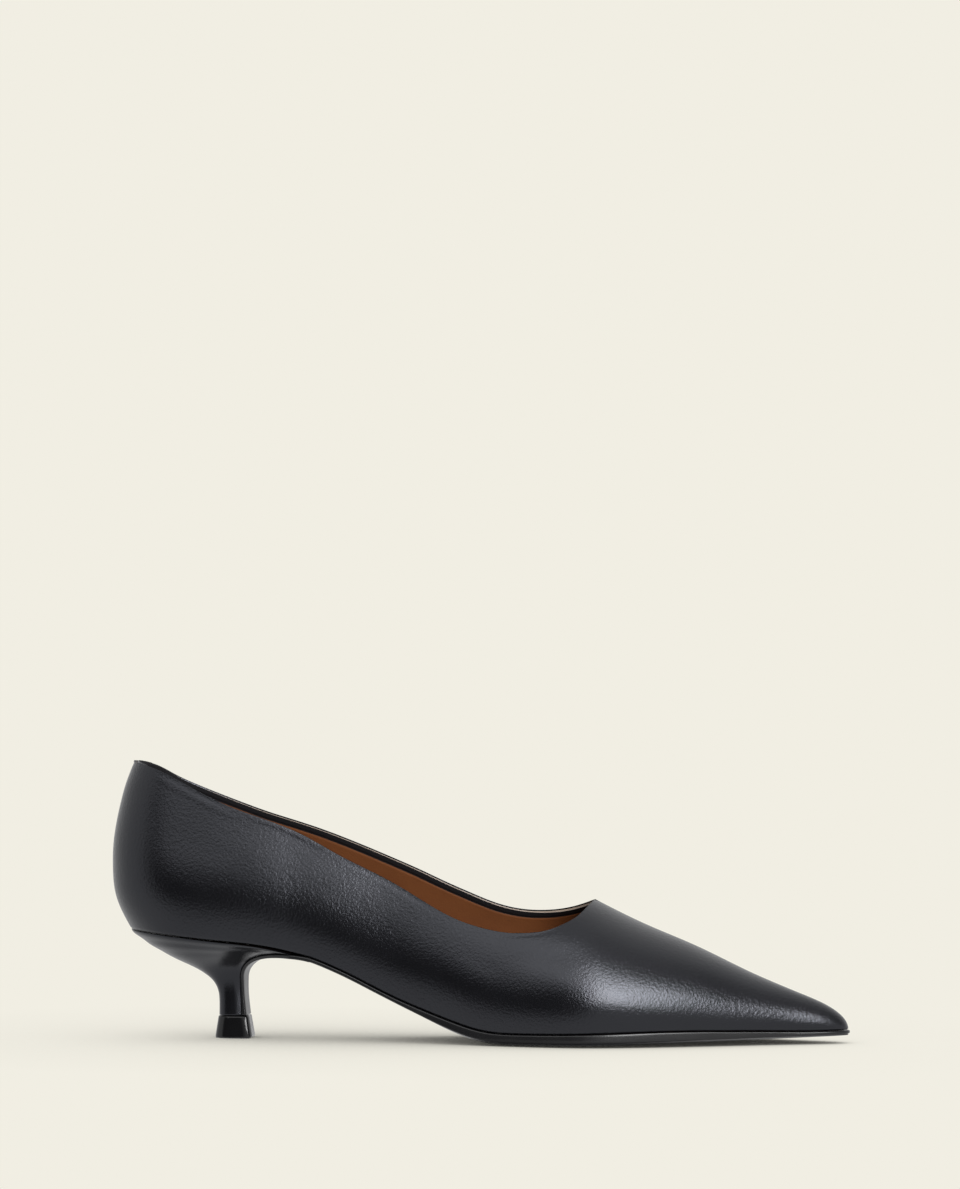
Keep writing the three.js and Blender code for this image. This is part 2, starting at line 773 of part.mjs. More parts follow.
// Top piece: the hard tip under the heel, a little wider at the floor
function makeTopPiece(material) {
  const rings = [];
  for (let level = 0; level <= 1; level++) {
    const flareOut = topPieceFlare * (1 - level);
    const rake = topPieceLip + topPieceRake * (1 - level);
    const back = stemBack - rake;
    const depth = stemDepth + seamGap + flapThick + flapFootFlare + 2 * rake - topPieceLip;
    const ring = [];
    const add = (share, side) => {
      const { forward, out } = stemShape(share);
      const y = sides[side] * out * (stemHalfWidth + flareOut);
      ring.push(new THREE.Vector3(back + depth * forward, y, level * topPieceHeight));
    };
    for (let j = 0; j <= heelSideSteps; j++) {
      add(j / heelSideSteps, 'inner');
    }
    for (let j = heelSideSteps; j >= 0; j--) {
      add(j / heelSideSteps, 'outer');
    }
    rings.push(ring);
  }
  return makePiece('top_piece', skinRings(rings, true, true), material);
}

// Materials

const blackLeather = new THREE.MeshStandardMaterial({ color: 0x26262a, roughness: 0.45, metalness: 0 });
const tanLeather = new THREE.MeshStandardMaterial({ color: 0x7a5230, roughness: 0.6, metalness: 0 });
const soleBlack = new THREE.MeshStandardMaterial({ color: 0x161618, roughness: 0.3, metalness: 0 });
const heelLeather = new THREE.MeshStandardMaterial({ color: 0x232327, roughness: 0.4, metalness: 0 });
const hardBlack = new THREE.MeshStandardMaterial({ color: 0x0d0d0e, roughness: 0.15, metalness: 0 });

// Assembly, with its origin on the floor under the middle of its box

const pump = new THREE.Group();
pump.add(makeUpper(blackLeather));
pump.add(makeInsole(tanLeather));
pump.add(makeOutsole(soleBlack));
pump.add(makeHeel(heelLeather));
pump.add(makeTopPiece(hardBlack));

const box = new THREE.Box3().setFromObject(pump);
const middle = box.getCenter(new THREE.Vector3());
pump.position.set(-middle.x, -middle.y, -box.min.z);

const group = new THREE.Group();
group.add(pump);

export default group;
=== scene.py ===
"""Looks of a right kitten heel pump in black leather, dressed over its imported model.

Lengths are millimetres in the last's own frame (x from the back of the heel to the toe, y to the
inner side, z up from the floor) until a mesh is made, where they become metres in the model's frame.
"""

import math

import bmesh
import bpy
import numpy as np
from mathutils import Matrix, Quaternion, Vector


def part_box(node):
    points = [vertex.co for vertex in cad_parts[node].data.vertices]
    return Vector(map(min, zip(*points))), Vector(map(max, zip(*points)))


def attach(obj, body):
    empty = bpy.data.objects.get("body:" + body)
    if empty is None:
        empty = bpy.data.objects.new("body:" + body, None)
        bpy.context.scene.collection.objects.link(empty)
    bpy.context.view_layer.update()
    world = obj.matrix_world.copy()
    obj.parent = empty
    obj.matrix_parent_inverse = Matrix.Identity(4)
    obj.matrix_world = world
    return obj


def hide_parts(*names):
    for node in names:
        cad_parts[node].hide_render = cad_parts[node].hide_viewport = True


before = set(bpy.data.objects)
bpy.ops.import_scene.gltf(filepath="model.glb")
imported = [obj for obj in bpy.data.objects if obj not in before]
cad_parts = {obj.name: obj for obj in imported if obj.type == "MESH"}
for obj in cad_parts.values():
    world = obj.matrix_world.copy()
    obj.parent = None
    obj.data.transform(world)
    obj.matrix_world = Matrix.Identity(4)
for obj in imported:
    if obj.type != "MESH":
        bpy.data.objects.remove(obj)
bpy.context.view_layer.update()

BODY = "root"

# Driving sizes of the last, as in the model
SHOE_LENGTH = 270.0
SEAT_WIDTH = 51.0
TREAD_WIDTH = 70.0
HEEL_HEIGHT = 40.0
BACK_HEIGHT = 60.7
THROAT_RISE = 46.0
HEEL_ROUND = 13.5
TOE_ROUND = 2.6
TOE_SPRING = 3.0
SPRING_CURVE = 1.35
SEAT_DISH = 1.5
WALL = 1.8
SEAM_GAP = 0.3
INSOLE_THICK = 2.2
TREAD_THICK = 4.3
WAIST_THICK = 1.6
FLAP_THICK = 1.2
FLAP_FOOT_FLARE = 0.6
FLAP_FOOT_REACH = 0.22
TREAD_EDGE_LIFT = 1.25
WAIST_EDGE_LIFT = 0.25
STEM_HALF_WIDTH = 6.2
STEM_DEPTH = 8.6
STEM_BACK = 39.5
BREAST_HOLLOW = 0.4
TOP_PIECE_HEIGHT = 8.2
TOP_PIECE_FLARE = 0.8
TOP_PIECE_RAKE = 1.3
TOP_PIECE_LIP = 0.3

# Places along the shoe, as shares of its length
THROAT_AT = 0.661
THROAT_SLANT_AT = 0.09
TREAD_START_AT = 0.56
SPRING_START_AT = 0.63
HEEL_TIP_AT = 0.258
SOLE_SPLIT_AT = 0.285
LEAN_REACH_AT = 0.082

# Breast of the heel, as shares of the heel's height
BREAST_RISE = {"ankle": 0.3, "low": 0.4, "stem": 0.55, "corner": 0.85}
BREAST_RUN = 0.16

THROAT_X = THROAT_AT * SHOE_LENGTH
HEEL_TIP_X = HEEL_TIP_AT * SHOE_LENGTH
SOLE_SPLIT_X = SOLE_SPLIT_AT * SHOE_LENGTH
HEEL_FOOT = TOP_PIECE_HEIGHT + SEAM_GAP

# Details that only the surface shows
RIM_RADIUS = 0.5 * WALL
BAND_WIDTH = 1.7
BAND_STEP = 0.35
# Steps of the rim that take the light line: edge paint, partly a painted highlight
RIM_PAINT_AND_HIGHLIGHT = (3, 9)
FOOT_ROUND = 0.6
SEAT_ROUND = 0.55
INSOLE_PLAY = 0.3
INSOLE_TOE_RELIEF = 2.5
SOCK_PLAY = 0.12
SOCK_EDGE_DROP = 0.45
SOLE_LEDGE = 0.55
SOLE_TOP_ROUND = 0.42
SOLE_FOOT_ROUND = 0.55

# Sides of the shoe, and the small steps over which slopes are measured, in mm and as a turn
INNER = 1
OUTER = -1
NUDGE = 0.01
TURN_NUDGE = 1e-4

# Halvings by which a turn is searched for, at the collar and at a height above the foot
COLLAR_HALVINGS = 40
HEIGHT_HALVINGS = 30

# Material slots of the upper
LEATHER_SLOT = 0
LINING_SLOT = 1
# Slot of the rim's light line: edge paint, partly a painted highlight
PAINT_AND_HIGHLIGHT_SLOT = 2


def table(names, *rows):
    """Splines by column name, over the first column."""
    columns = dict(zip(names.split(), np.array(rows, float).T))
    at = columns.pop("at")
    return {name: spline(at, value) for name, value in columns.items()}


def spline(at, value):
    """Natural cubic spline through one column of a table."""
    count = len(at)
    step = np.diff(at)
    matrix = np.eye(count)
    turn = np.zeros(count)
    for i in range(1, count - 1):
        matrix[i, i - 1:i + 2] = step[i - 1], 2 * (step[i - 1] + step[i]), step[i]
        turn[i] = 6 * ((value[i + 1] - value[i]) / step[i] - (value[i] - value[i - 1]) / step[i - 1])
    bend = np.linalg.solve(matrix, turn)

    def curve(where):
        i = np.clip(np.searchsorted(at, where) - 1, 0, count - 2)
        b = (where - at[i]) / step[i]
        a = 1 - b
        bow = (a ** 3 - a) * bend[i] + (b ** 3 - b) * bend[i + 1]
        return a * value[i] + b * value[i + 1] + bow * step[i] ** 2 / 6

    return curve


def records(names, *rows):
    """Rows of a table as dictionaries by column name."""
    return [dict(zip(names.split(), row)) for row in rows]


# In the tables below, at is a share of the shoe's length where nothing else is said

# Half widths of the feather edge, as shares of the width there
OUTLINE = table(
    "at inner outer",
    (0.00, 0.470, 0.470),
    (0.06, 0.490, 0.490),
    (0.14, 0.506, 0.502),
    (0.22, 0.486, 0.496),
    (0.30, 0.402, 0.464),
    (0.38, 0.301, 0.403),
    (0.46, 0.271, 0.393),
    (0.54, 0.337, 0.454),
    (0.60, 0.417, 0.506),
    (0.66, 0.474, 0.520),
    (0.72, 0.474, 0.474),
    (0.79, 0.404, 0.380),
    (0.86, 0.294, 0.269),
    (0.93, 0.174, 0.160),
    (1.00, 0.074, 0.071),
)

# Rise of the sole's top, as a share of its rise from the tread to the seat
ARCH = table(
    "at rise",
    (0.000, 0.990),
    (0.030, 0.978),
    (0.096, 0.944),
    (0.155, 0.905),
    (0.207, 0.868),
    (0.233, 0.836),
    (0.259, 0.793),
    (0.285, 0.736),
    (0.312, 0.656),
    (0.339, 0.563),
    (0.390, 0.371),
    (0.443, 0.205),
    (0.482, 0.099),
    (0.506, 0.044),
    (0.530, 0.011),
    (0.560, 0.000),
    (0.600, 0.000),
)

# Depth of the sole at the tread, as a share of its driving size
TREAD = table(
    "at thick",
    (0.50, 1.00),
    (0.56, 1.00),
    (0.61, 1.03),
    (0.66, 1.07),
    (0.74, 1.10),
    (0.80, 1.02),
    (0.85, 0.86),
    (0.90, 0.68),
    (0.94, 0.53),
    (1.00, 0.40),
)

# Height of the crest, as shares of the throat's rise and of the back's height, which add up
CREST = table(
    "at throat back",
    (0.000, 0.000, 1.633),
    (0.100, 0.050, 1.513),
    (0.200, 0.200, 1.280),
    (0.280, 0.450, 1.003),
    (0.360, 0.800, 0.697),
    (0.440, 1.150, 0.356),
    (0.520, 1.300, 0.097),
    (0.600, 1.178, 0.000),
    (0.661, 1.000, 0.000),
    (0.693, 0.900, 0.000),
    (0.737, 0.776, 0.000),
    (0.803, 0.609, 0.000),
    (0.867, 0.437, 0.000),
    (0.933, 0.287, 0.000),
    (0.966, 0.210, 0.000),
    (1.000, 0.110, 0.000),
)

# Heights of a rib's control points, as shares of the crest's height
RIB_RISES = table(
    "at side shoulder ridge",
    (0.00, 0.18, 0.48, 0.88),
    (0.15, 0.18, 0.48, 0.88),
    (0.30, 0.19, 0.49, 0.88),
    (0.40, 0.20, 0.52, 0.89),
    (0.50, 0.22, 0.58, 0.91),
    (0.60, 0.24, 0.65, 0.93),
    (0.70, 0.26, 0.68, 0.94),
    (0.80, 0.28, 0.70, 0.95),
    (0.90, 0.30, 0.71, 0.96),
    (1.00, 0.30, 0.72, 0.98),
)

# Bulge past the feather edge, as shares of the width there, then the shoulder's and the ridge's half
# widths, as shares of the widest, and the crest's shift to the inner side, as a share of the tread's width
RIB_SPREADS = table(
    "at inner outer shoulder ridge shift",
    (0.00, 0.118, 0.118, 0.75, 0.440, 0.00),
    (0.15, 0.118, 0.118, 0.75, 0.440, 0.00),
    (0.30, 0.140, 0.100, 0.75, 0.430, 0.01),
    (0.40, 0.145, 0.084, 0.76, 0.410, 0.02),
    (0.50, 0.105, 0.074, 0.76, 0.390, 0.03),
    (0.60, 0.064, 0.066, 0.76, 0.385, 0.03),
    (0.70, 0.050, 0.056, 0.75, 0.380, 0.03),
    (0.80, 0.036, 0.040, 0.74, 0.370, 0.02),
    (0.90, 0.022, 0.024, 0.74, 0.360, 0.01),
    (1.00, 0.011, 0.011, 0.76, 0.360, 0.00),
)

# Lean of the back to the front, as a share of the back's height. Here at is a share of that height.
BACK_LEAN = table(
    "at lean",
    (0.00, 0.111),
    (0.10, 0.056),
    (0.20, 0.018),
    (0.35, 0.000),
    (0.50, 0.001),
    (0.63, 0.018),
    (0.77, 0.048),
    (0.90, 0.085),
    (1.00, 0.125),
)

# Height of the topline, from 0 at the throat's height to 1 at the back's
COLLAR = table(
    "at inner outer",
    (0.000, 1.000, 1.000),
    (0.025, 0.962, 0.974),
    (0.060, 0.885, 0.932),
    (0.095, 0.813, 0.865),
    (0.130, 0.742, 0.779),
    (0.165, 0.671, 0.692),
    (0.200, 0.604, 0.622),
    (0.235, 0.547, 0.556),
    (0.270, 0.488, 0.476),
    (0.305, 0.420, 0.373),
    (0.340, 0.346, 0.273),
    (0.375, 0.268, 0.182),
    (0.410, 0.187, 0.079),
    (0.445, 0.099, -0.033),
    (0.480, 0.017, -0.128),
    (0.515, -0.058, -0.189),
    (0.550, -0.102, -0.222),
    (0.580, -0.109, -0.222),
    (0.605, -0.096, -0.203),
    (0.630, -0.064, -0.150),
    (0.648, -0.029, -0.086),
    (0.661, 0.000, 0.000),
)

# Spread of the heel from its stem, 0, to its seat, 1. Here at is a share of the heel's height.
FLARE = table(
    "at reach",
    (0.000, 0.000),
    (0.210, 0.000),
    (0.350, 0.000),
    (0.430, 0.012),
    (0.480, 0.035),
    (0.535, 0.082),
    (0.590, 0.163),
    (0.645, 0.275),
    (0.700, 0.419),
    (0.755, 0.557),
    (0.810, 0.675),
    (0.860, 0.784),
    (0.920, 0.882),
    (0.970, 0.971),
    (1.000, 1.000),
)


def mix(a, b, share):
    return a + (b - a) * share


def ease(low, high, value):
    share = np.clip((value - low) / (high - low), 0, 1)
    return share * share * (3 - 2 * share)


def side_name(side):
    return "inner" if side == INNER else "outer"


def unit(vectors):
    length = np.linalg.norm(vectors, axis=-1, keepdims=True)
    return vectors / np.maximum(length, 1e-12)


# The last in plan and height


def caps(x):
    heel = np.sqrt(1 - np.exp(-x / HEEL_ROUND))
    toe = np.sqrt(1 - np.exp(-(SHOE_LENGTH - x) / TOE_ROUND))
    return heel, toe


def local_width(at):
    return mix(SEAT_WIDTH, TREAD_WIDTH, ease(0.25, 0.5, at))


def feather_half(x, side):
    at = x / SHOE_LENGTH
    heel, toe = caps(x)
    return local_width(at) * OUTLINE[side_name(side)](at) * heel * toe


def lean_at(x, height):
    share = np.clip(height / BACK_HEIGHT, 0, 1)
    return BACK_HEIGHT * BACK_LEAN["lean"](share) * np.exp(-(x / (LEAN_REACH_AT * SHOE_LENGTH)) ** 2)


def edge_points(x, side, outwards):
    """Feather edge in plan, moved outwards along its own normal. One row of (x, y) for each x."""
    a = np.maximum(x - NUDGE, 0)
    b = np.minimum(x + NUDGE, SHOE_LENGTH)
    along = b + lean_at(b, 0) - a - lean_at(a, 0)
    across = feather_half(b, side) - feather_half(a, side)
    normal = unit(np.stack([-across, along], -1))
    normal = np.where((x <= 0)[..., None], (-1.0, 0.0), normal)
    normal = np.where((x >= SHOE_LENGTH)[..., None], (1.0, 0.0), normal)
    return np.stack([
        x + lean_at(x, 0) + normal[..., 0] * outwards,
        side * (feather_half(x, side) + normal[..., 1] * outwards),
    ], -1)


def toe_lift(x):
    share = np.clip((x / SHOE_LENGTH - SPRING_START_AT) / (1 - SPRING_START_AT), 0, 1)
    return TOE_SPRING * share ** SPRING_CURVE


def tread_depth(x):
    at = x / SHOE_LENGTH
    return TREAD_THICK * np.where(at > TREAD_START_AT, TREAD["thick"](np.maximum(at, 0.5)), 1)


def sole_top(x):
    at = x / SHOE_LENGTH
    rise = np.where(at < TREAD_START_AT, ARCH["rise"](np.minimum(at, 0.6)), 0)
    return tread_depth(x) + rise * (HEEL_HEIGHT - TREAD_THICK) + toe_lift(x)


def dish_depth(x, inwards):
    share = np.clip(x / HEEL_TIP_X, 0, 1)
    return SEAT_DISH * 4 * share * (1 - share) * (1 - (1 - inwards) ** 2)


# The last's surface


def last_point(x, turn):
    """Points of the last. Turn is -1 at the outer feather edge, 0 at the crest, 1 at the inner one."""
    x, turn = np.broadcast_arrays(np.asarray(x, float), np.asarray(turn, float))
    at = x / SHOE_LENGTH
    heel, toe = caps(x)
    height = (THROAT_RISE * CREST["throat"](at) + BACK_HEIGHT * CREST["back"](at)) * toe
    ridge = RIB_RISES["ridge"](at)
    rows = []
    for side in (OUTER, INNER):
        feather = feather_half(x, side)
        widest = feather + local_width(at) * RIB_SPREADS[side_name(side)](at) * heel * toe
        rows.append([
            (side * feather, 0 * height),
            (side * widest, RIB_RISES["side"](at) * height),
            (side * widest * RIB_SPREADS["shoulder"](at), RIB_RISES["shoulder"](at) * height),
            (side * widest * RIB_SPREADS["ridge"](at), ridge * height),
        ])
    # This height puts the crest of the B-spline, not its control point, at the full height
    top_height = (6 - 2 * ridge) / 4 * height
    top = (RIB_SPREADS["shift"](at) * TREAD_WIDTH * heel * toe, top_height)
    controls = rows[0] + [top] + rows[1][::-1]
    before = tuple(2 * a - b for a, b in zip(controls[0], controls[1]))
    after = tuple(2 * a - b for a, b in zip(controls[-1], controls[-2]))
    controls = np.array([before] + controls + [after])
    spans = 8
    place = (turn + 1) / 2 * spans
    span = np.clip(np.floor(place).astype(int), 0, spans - 1)
    t = place - span
    weights = (
        (1 - t) ** 3 / 6,
        (3 * t ** 3 - 6 * t ** 2 + 4) / 6,
        (-3 * t ** 3 + 3 * t ** 2 + 3 * t + 1) / 6,
        t ** 3 / 6,
    )
    where = tuple(np.indices(span.shape))
    y = sum(w * controls[(span + k, 0) + where] for k, w in enumerate(weights))
    z = sum(w * controls[(span + k, 1) + where] for k, w in enumerate(weights))
    return np.stack([x + lean_at(x, z), y, sole_top(x) + SEAM_GAP + z], -1)


def slopes(x, turn):
    """Derivatives of the last's surface along x and along turn."""
    x_low = np.maximum(x - NUDGE, 0)
    x_high = np.minimum(x + NUDGE, SHOE_LENGTH)
    t_low = np.maximum(turn - TURN_NUDGE, -1)
    t_high = np.minimum(turn + TURN_NUDGE, 1)
    forward = (last_point(x_high, turn) - last_point(x_low, turn)) / (x_high - x_low)[..., None]
    around = (last_point(x, t_high) - last_point(x, t_low)) / (t_high - t_low)[..., None]
    return forward, around


def last_normal(x, turn):
    x, turn = np.broadcast_arrays(np.asarray(x, float), np.asarray(turn, float))
    forward, around = slopes(x, turn)
    normal = np.cross(forward, around)
    normal[..., 1] = np.where(x <= 0, 0, normal[..., 1])
    normal = unit(normal)
    return np.where((x >= SHOE_LENGTH)[..., None], (1.0, 0.0, 0.0), normal)


def collar_turn(x, side):
    """The turn at which each rib reaches the topline."""
    throat_z = sole_top(THROAT_X) + SEAM_GAP + THROAT_RISE
    back_z = sole_top(0.0) + SEAM_GAP + BACK_HEIGHT
    target = mix(throat_z, back_z, COLLAR[side_name(side)](x / SHOE_LENGTH))
    low = np.ones_like(x)
    high = np.zeros_like(x)
    for _ in range(COLLAR_HALVINGS):
        middle = (low + high) / 2
        below = last_point(x, side * middle)[..., 2] < target
        low = np.where(below, middle, low)
        high = np.where(below, high, middle)
    return np.where(x >= THROAT_X, 0, high)


# Meshes

# Points of the mesh that lie closer than this are one point, in metres
MERGE_WITHIN = 2e-6

# Shift to the model's frame, from the toe, the middle of the top piece and the floor, in mm
TOP_PIECE_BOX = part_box("top_piece")
OUTSOLE_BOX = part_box("outsole")
SHIFT = np.array([
    OUTSOLE_BOX[1].x * 1000 - (SHOE_LENGTH + SEAM_GAP),
    (TOP_PIECE_BOX[0].y + TOP_PIECE_BOX[1].y) * 500,
    TOP_PIECE_BOX[0].z * 1000,
])


def to_frame(points):
    return (np.asarray(points, float) + SHIFT) / 1000


def grid_faces(rows, columns, start=0, wrap=False, turned=False):
    """Quads of a grid of rows x columns points that starts at an index."""
    i, j = np.meshgrid(np.arange(rows - 1), np.arange(columns if wrap else columns - 1), indexing="ij")
    k = (j + 1) % columns
    corners = [i * columns + j, (i + 1) * columns + j, (i + 1) * columns + k, i * columns + k]
    faces = np.stack(corners, -1).reshape(-1, 4) + start
    return faces[:, ::-1] if turned else faces


class Patchwork:
    """Grids of points gathered into one mesh, with a material slot and a weight for each."""

    def __init__(self):
        self.points = []
        self.faces = []
        self.slots = []
        self.values = []
        self.count = 0

    def add(self, grid, slot=0, turned=False, wrap=False, value=None):
        grid = np.asarray(grid, float)
        rows, columns = grid.shape[:2]
        faces = grid_faces(rows, columns, self.count, wrap, turned)
        self.points.append(grid.reshape(-1, 3))
        self.faces.append(faces)
        self.slots.append(np.full(len(faces), slot))
        value = np.zeros((rows, columns)) if value is None else value
        self.values.append(np.asarray(value, float).reshape(-1))
        self.count += rows * columns

    def build(self, name, materials):
        points = to_frame(np.concatenate(self.points))
        mesh = bpy.data.meshes.new(name)
        mesh.from_pydata(points.tolist(), [], np.concatenate(self.faces).tolist())
        for material in materials:
            mesh.materials.append(material)
        mesh.polygons.foreach_set("material_index", np.concatenate(self.slots).astype(np.int32))
        layer = mesh.attributes.new("edge_mm", "FLOAT", "POINT")
        layer.data.foreach_set("value", np.concatenate(self.values).astype(np.float32))
        work = bmesh.new()
        work.from_mesh(mesh)
        bmesh.ops.remove_doubles(work, verts=work.verts, dist=MERGE_WITHIN)
        bmesh.ops.recalc_face_normals(work, faces=work.faces)
        if work.calc_volume(signed=True) < 0:
            bmesh.ops.reverse_faces(work, faces=work.faces)
        work.to_mesh(mesh)
        work.free()
        mesh.polygons.foreach_set("use_smooth", np.ones(len(mesh.polygons), bool))
        piece = bpy.data.objects.new(name, mesh)
        bpy.context.scene.collection.objects.link(piece)
        return piece


def dress(piece, node):
    """Lets a piece stand for its node and ride with the shoe."""
    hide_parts(node)
    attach(piece, BODY)


# Materials


def new_material(name):
    material = bpy.data.materials.new(name)
    material.use_nodes = True
    shader = material.node_tree.nodes["Principled BSDF"]
    return material, material.node_tree, shader


def place_node(tree, kind, **values):
    node = tree.nodes.new(kind)
    for name, value in values.items():
        if name in node.inputs:
            node.inputs[name].default_value = value
        else:
            setattr(node, name, value)
    return node


def coordinates(tree, kind="Object"):
    return place_node(tree, "ShaderNodeTexCoord").outputs[kind]


def noise(tree, place, size_mm, detail=2.0, roughness=0.5):
    node = place_node(tree, "ShaderNodeTexNoise", Scale=1000 / size_mm, Detail=detail, Roughness=roughness)
    tree.links.new(place, node.inputs["Vector"])
    return node.outputs["Fac"]


def cells(tree, place, size_mm, smooth=0.6):
    node = place_node(tree, "ShaderNodeTexVoronoi", Scale=1000 / size_mm)
    node.feature = "SMOOTH_F1"
    node.inputs["Smoothness"].default_value = smooth
    tree.links.new(place, node.inputs["Vector"])
    return node.outputs["Distance"]


def map_range(tree, value, low, high, to_low=0.0, to_high=1.0):
    node = place_node(tree, "ShaderNodeMapRange")
    for name, number in (("From Min", low), ("From Max", high), ("To Min", to_low), ("To Max", to_high)):
        node.inputs[name].default_value = number
    tree.links.new(value, node.inputs["Value"])
    return node.outputs["Result"]


def blend_colours(tree, share, first, second):
    """Colour between two colours or colour sockets."""
    node = tree.nodes.new("ShaderNodeMix")
    node.data_type = "RGBA"
    tree.links.new(share, node.inputs["Factor"])
    for socket, value in ((node.inputs[6], first), (node.inputs[7], second)):
        if isinstance(value, tuple):
            socket.default_value = (*value, 1)
        else:
            tree.links.new(value, socket)
    return node.outputs[2]


def add_up(tree, *parts):
    """Sum of value sockets, each with its own weight."""
    total = None
    for socket, weight in parts:
        scaled = place_node(tree, "ShaderNodeMath", operation="MULTIPLY_ADD")
        scaled.inputs[1].default_value = weight
        scaled.inputs[2].default_value = 0
        tree.links.new(socket, scaled.inputs[0])
        if total is not None:
            tree.links.new(total, scaled.inputs[2])
        total = scaled.outputs[0]
    return total


def bump(tree, shader, height, depth_mm, strength=1.0):
    node = place_node(tree, "ShaderNodeBump", Strength=strength, Distance=depth_mm / 1000)
    tree.links.new(height, node.inputs["Height"])
    tree.links.new(node.outputs["Normal"], shader.inputs["Normal"])


def black_leather(name, grain_mm, depth_mm, rough_low, rough_high):
    """Smooth black leather: fine pebbled grain and a soft satin gloss, a little cool in tone."""
    material, tree, shader = new_material(name)
    place = coordinates(tree)
    patchy = noise(tree, place, 22, 3)
    fine = noise(tree, place, 0.5 * grain_mm, 3, 0.6)
    grain = cells(tree, place, grain_mm)
    pores = cells(tree, place, 0.45 * grain_mm)
    dark = (0.0032, 0.0032, 0.0038)
    light = (0.0046, 0.0046, 0.0056)
    colour = blend_colours(tree, patchy, dark, light)
    tree.links.new(colour, shader.inputs["Base Color"])
    rough = map_range(tree, add_up(tree, (patchy, 0.5), (fine, 0.5)), 0.3, 0.7, rough_low, rough_high)
    tree.links.new(rough, shader.inputs["Roughness"])
    shader.inputs["Specular IOR Level"].default_value = 0.55
    shader.inputs["Specular Tint"].default_value = (0.86, 0.89, 1.0, 1)
    shader.inputs["Coat Weight"].default_value = 0.1
    shader.inputs["Coat Roughness"].default_value = 0.24
    bump(tree, shader, add_up(tree, (grain, 0.5), (pores, 0.3), (fine, 0.5)), depth_mm, 1.0)
    return material


def edge_paint_and_highlight():
    """Thin light line on top of the rim: the finished edge's own paint, made lighter as a painted highlight
    where the rim catches the light from above.
    """
    material, tree, shader = new_material("edge_paint_and_highlight")
    place = coordinates(tree)
    # Light tan-grey line: the edge paint's colour, made lighter as a painted highlight
    dark = (0.20, 0.155, 0.12)
    light = (0.30, 0.24, 0.19)
    colour = blend_colours(tree, noise(tree, place, 4, 3), dark, light)
    tree.links.new(colour, shader.inputs["Base Color"])
    rough = map_range(tree, noise(tree, place, 1.5, 2), 0.3, 0.7, 0.34, 0.46)
    tree.links.new(rough, shader.inputs["Roughness"])
    bump(tree, shader, noise(tree, place, 0.6, 2), 0.02, 0.5)
    return material


def tan_lining():
    """Plain tan lining leather with a fine grain."""
    material, tree, shader = new_material("tan_lining")
    place = coordinates(tree)
    patchy = noise(tree, place, 9, 4, 0.6)
    fine = noise(tree, place, 0.5, 3, 0.6)
    grain = cells(tree, place, 0.8)
    dark = (0.13, 0.043, 0.013)
    light = (0.18, 0.062, 0.019)
    colour = blend_colours(tree, patchy, dark, light)
    tree.links.new(colour, shader.inputs["Base Color"])
    rough = map_range(tree, fine, 0.3, 0.7, 0.5, 0.62)
    tree.links.new(rough, shader.inputs["Roughness"])
    shader.inputs["Specular IOR Level"].default_value = 0.3
    bump(tree, shader, add_up(tree, (grain, 0.5), (fine, 0.5)), 0.05, 0.7)
    return material


def inside_leather(lining):
    """Inner face of the upper: the black turned band along the topline, and the lining below it."""
    material = lining.copy()
    material.name = "lined_inside"
    tree = material.node_tree
    shader = tree.nodes["Principled BSDF"]
    tan = shader.inputs["Base Color"].links[0].from_socket
    attribute = place_node(tree, "ShaderNodeAttribute", attribute_name="edge_mm")
    softness = 0.1
    share = map_range(tree, attribute.outputs["Fac"], BAND_WIDTH - softness, BAND_WIDTH + softness)
    band = (0.0085, 0.0085, 0.01)
    colour = blend_colours(tree, share, band, tan)
    tree.links.new(colour, shader.inputs["Base Color"])
    return material


# Heights above the floor, in metres, between which the sole turns from dull to polished. Below them its
# reflections are also turned down, as painted shade where the sole meets the floor
SOLE_SHADE_AND_POLISH_HEIGHTS = (0.0014, 0.0030)


def sole_black():
    """Black sole, polished on its edge and waist and dull close to the floor, where its reflections are
    also turned down as painted shade.
    """
    material, tree, shader = new_material("sole_black")
    place = coordinates(tree)
    patchy = noise(tree, place, 14, 3)
    fine = noise(tree, place, 0.35, 2, 0.6)
    dark = (0.0075, 0.0075, 0.0082)
    light = (0.0105, 0.0105, 0.0112)
    colour = blend_colours(tree, patchy, dark, light)
    tree.links.new(colour, shader.inputs["Base Color"])
    parts = place_node(tree, "ShaderNodeSeparateXYZ")
    tree.links.new(place, parts.inputs[0])
    shine_above_painted_shade = map_range(tree, parts.outputs["Z"], *SOLE_SHADE_AND_POLISH_HEIGHTS)
    polish = 0.45
    rough = add_up(tree, (patchy, 0.2), (shine_above_painted_shade, -polish))
    rough = map_range(tree, rough, -polish, 0.1, 0.12, 0.75)
    tree.links.new(rough, shader.inputs["Roughness"])
    # Painted shade: the specular level falls close to the floor, where the floor would shade the sole's
    # reflections
    specular_with_painted_shade = map_range(tree, shine_above_painted_shade, 0, 1, 0.02, 0.5)
    tree.links.new(specular_with_painted_shade, shader.inputs["Specular IOR Level"])
    bump(tree, shader, fine, 0.02, 0.5)
    return material


def hard_black():
    """Glossy hard black of the top piece."""
    material, tree, shader = new_material("hard_black")
    place = coordinates(tree)
    patchy = noise(tree, place, 5, 3)
    dark = (0.004, 0.004, 0.0044)
    light = (0.006, 0.006, 0.0064)
    colour = blend_colours(tree, patchy, dark, light)
    tree.links.new(colour, shader.inputs["Base Color"])
    rough = map_range(tree, patchy, 0.3, 0.7, 0.06, 0.12)
    tree.links.new(rough, shader.inputs["Roughness"])
    bump(tree, shader, noise(tree, place, 3, 2), 0.02, 0.4)
    return material


# Upper


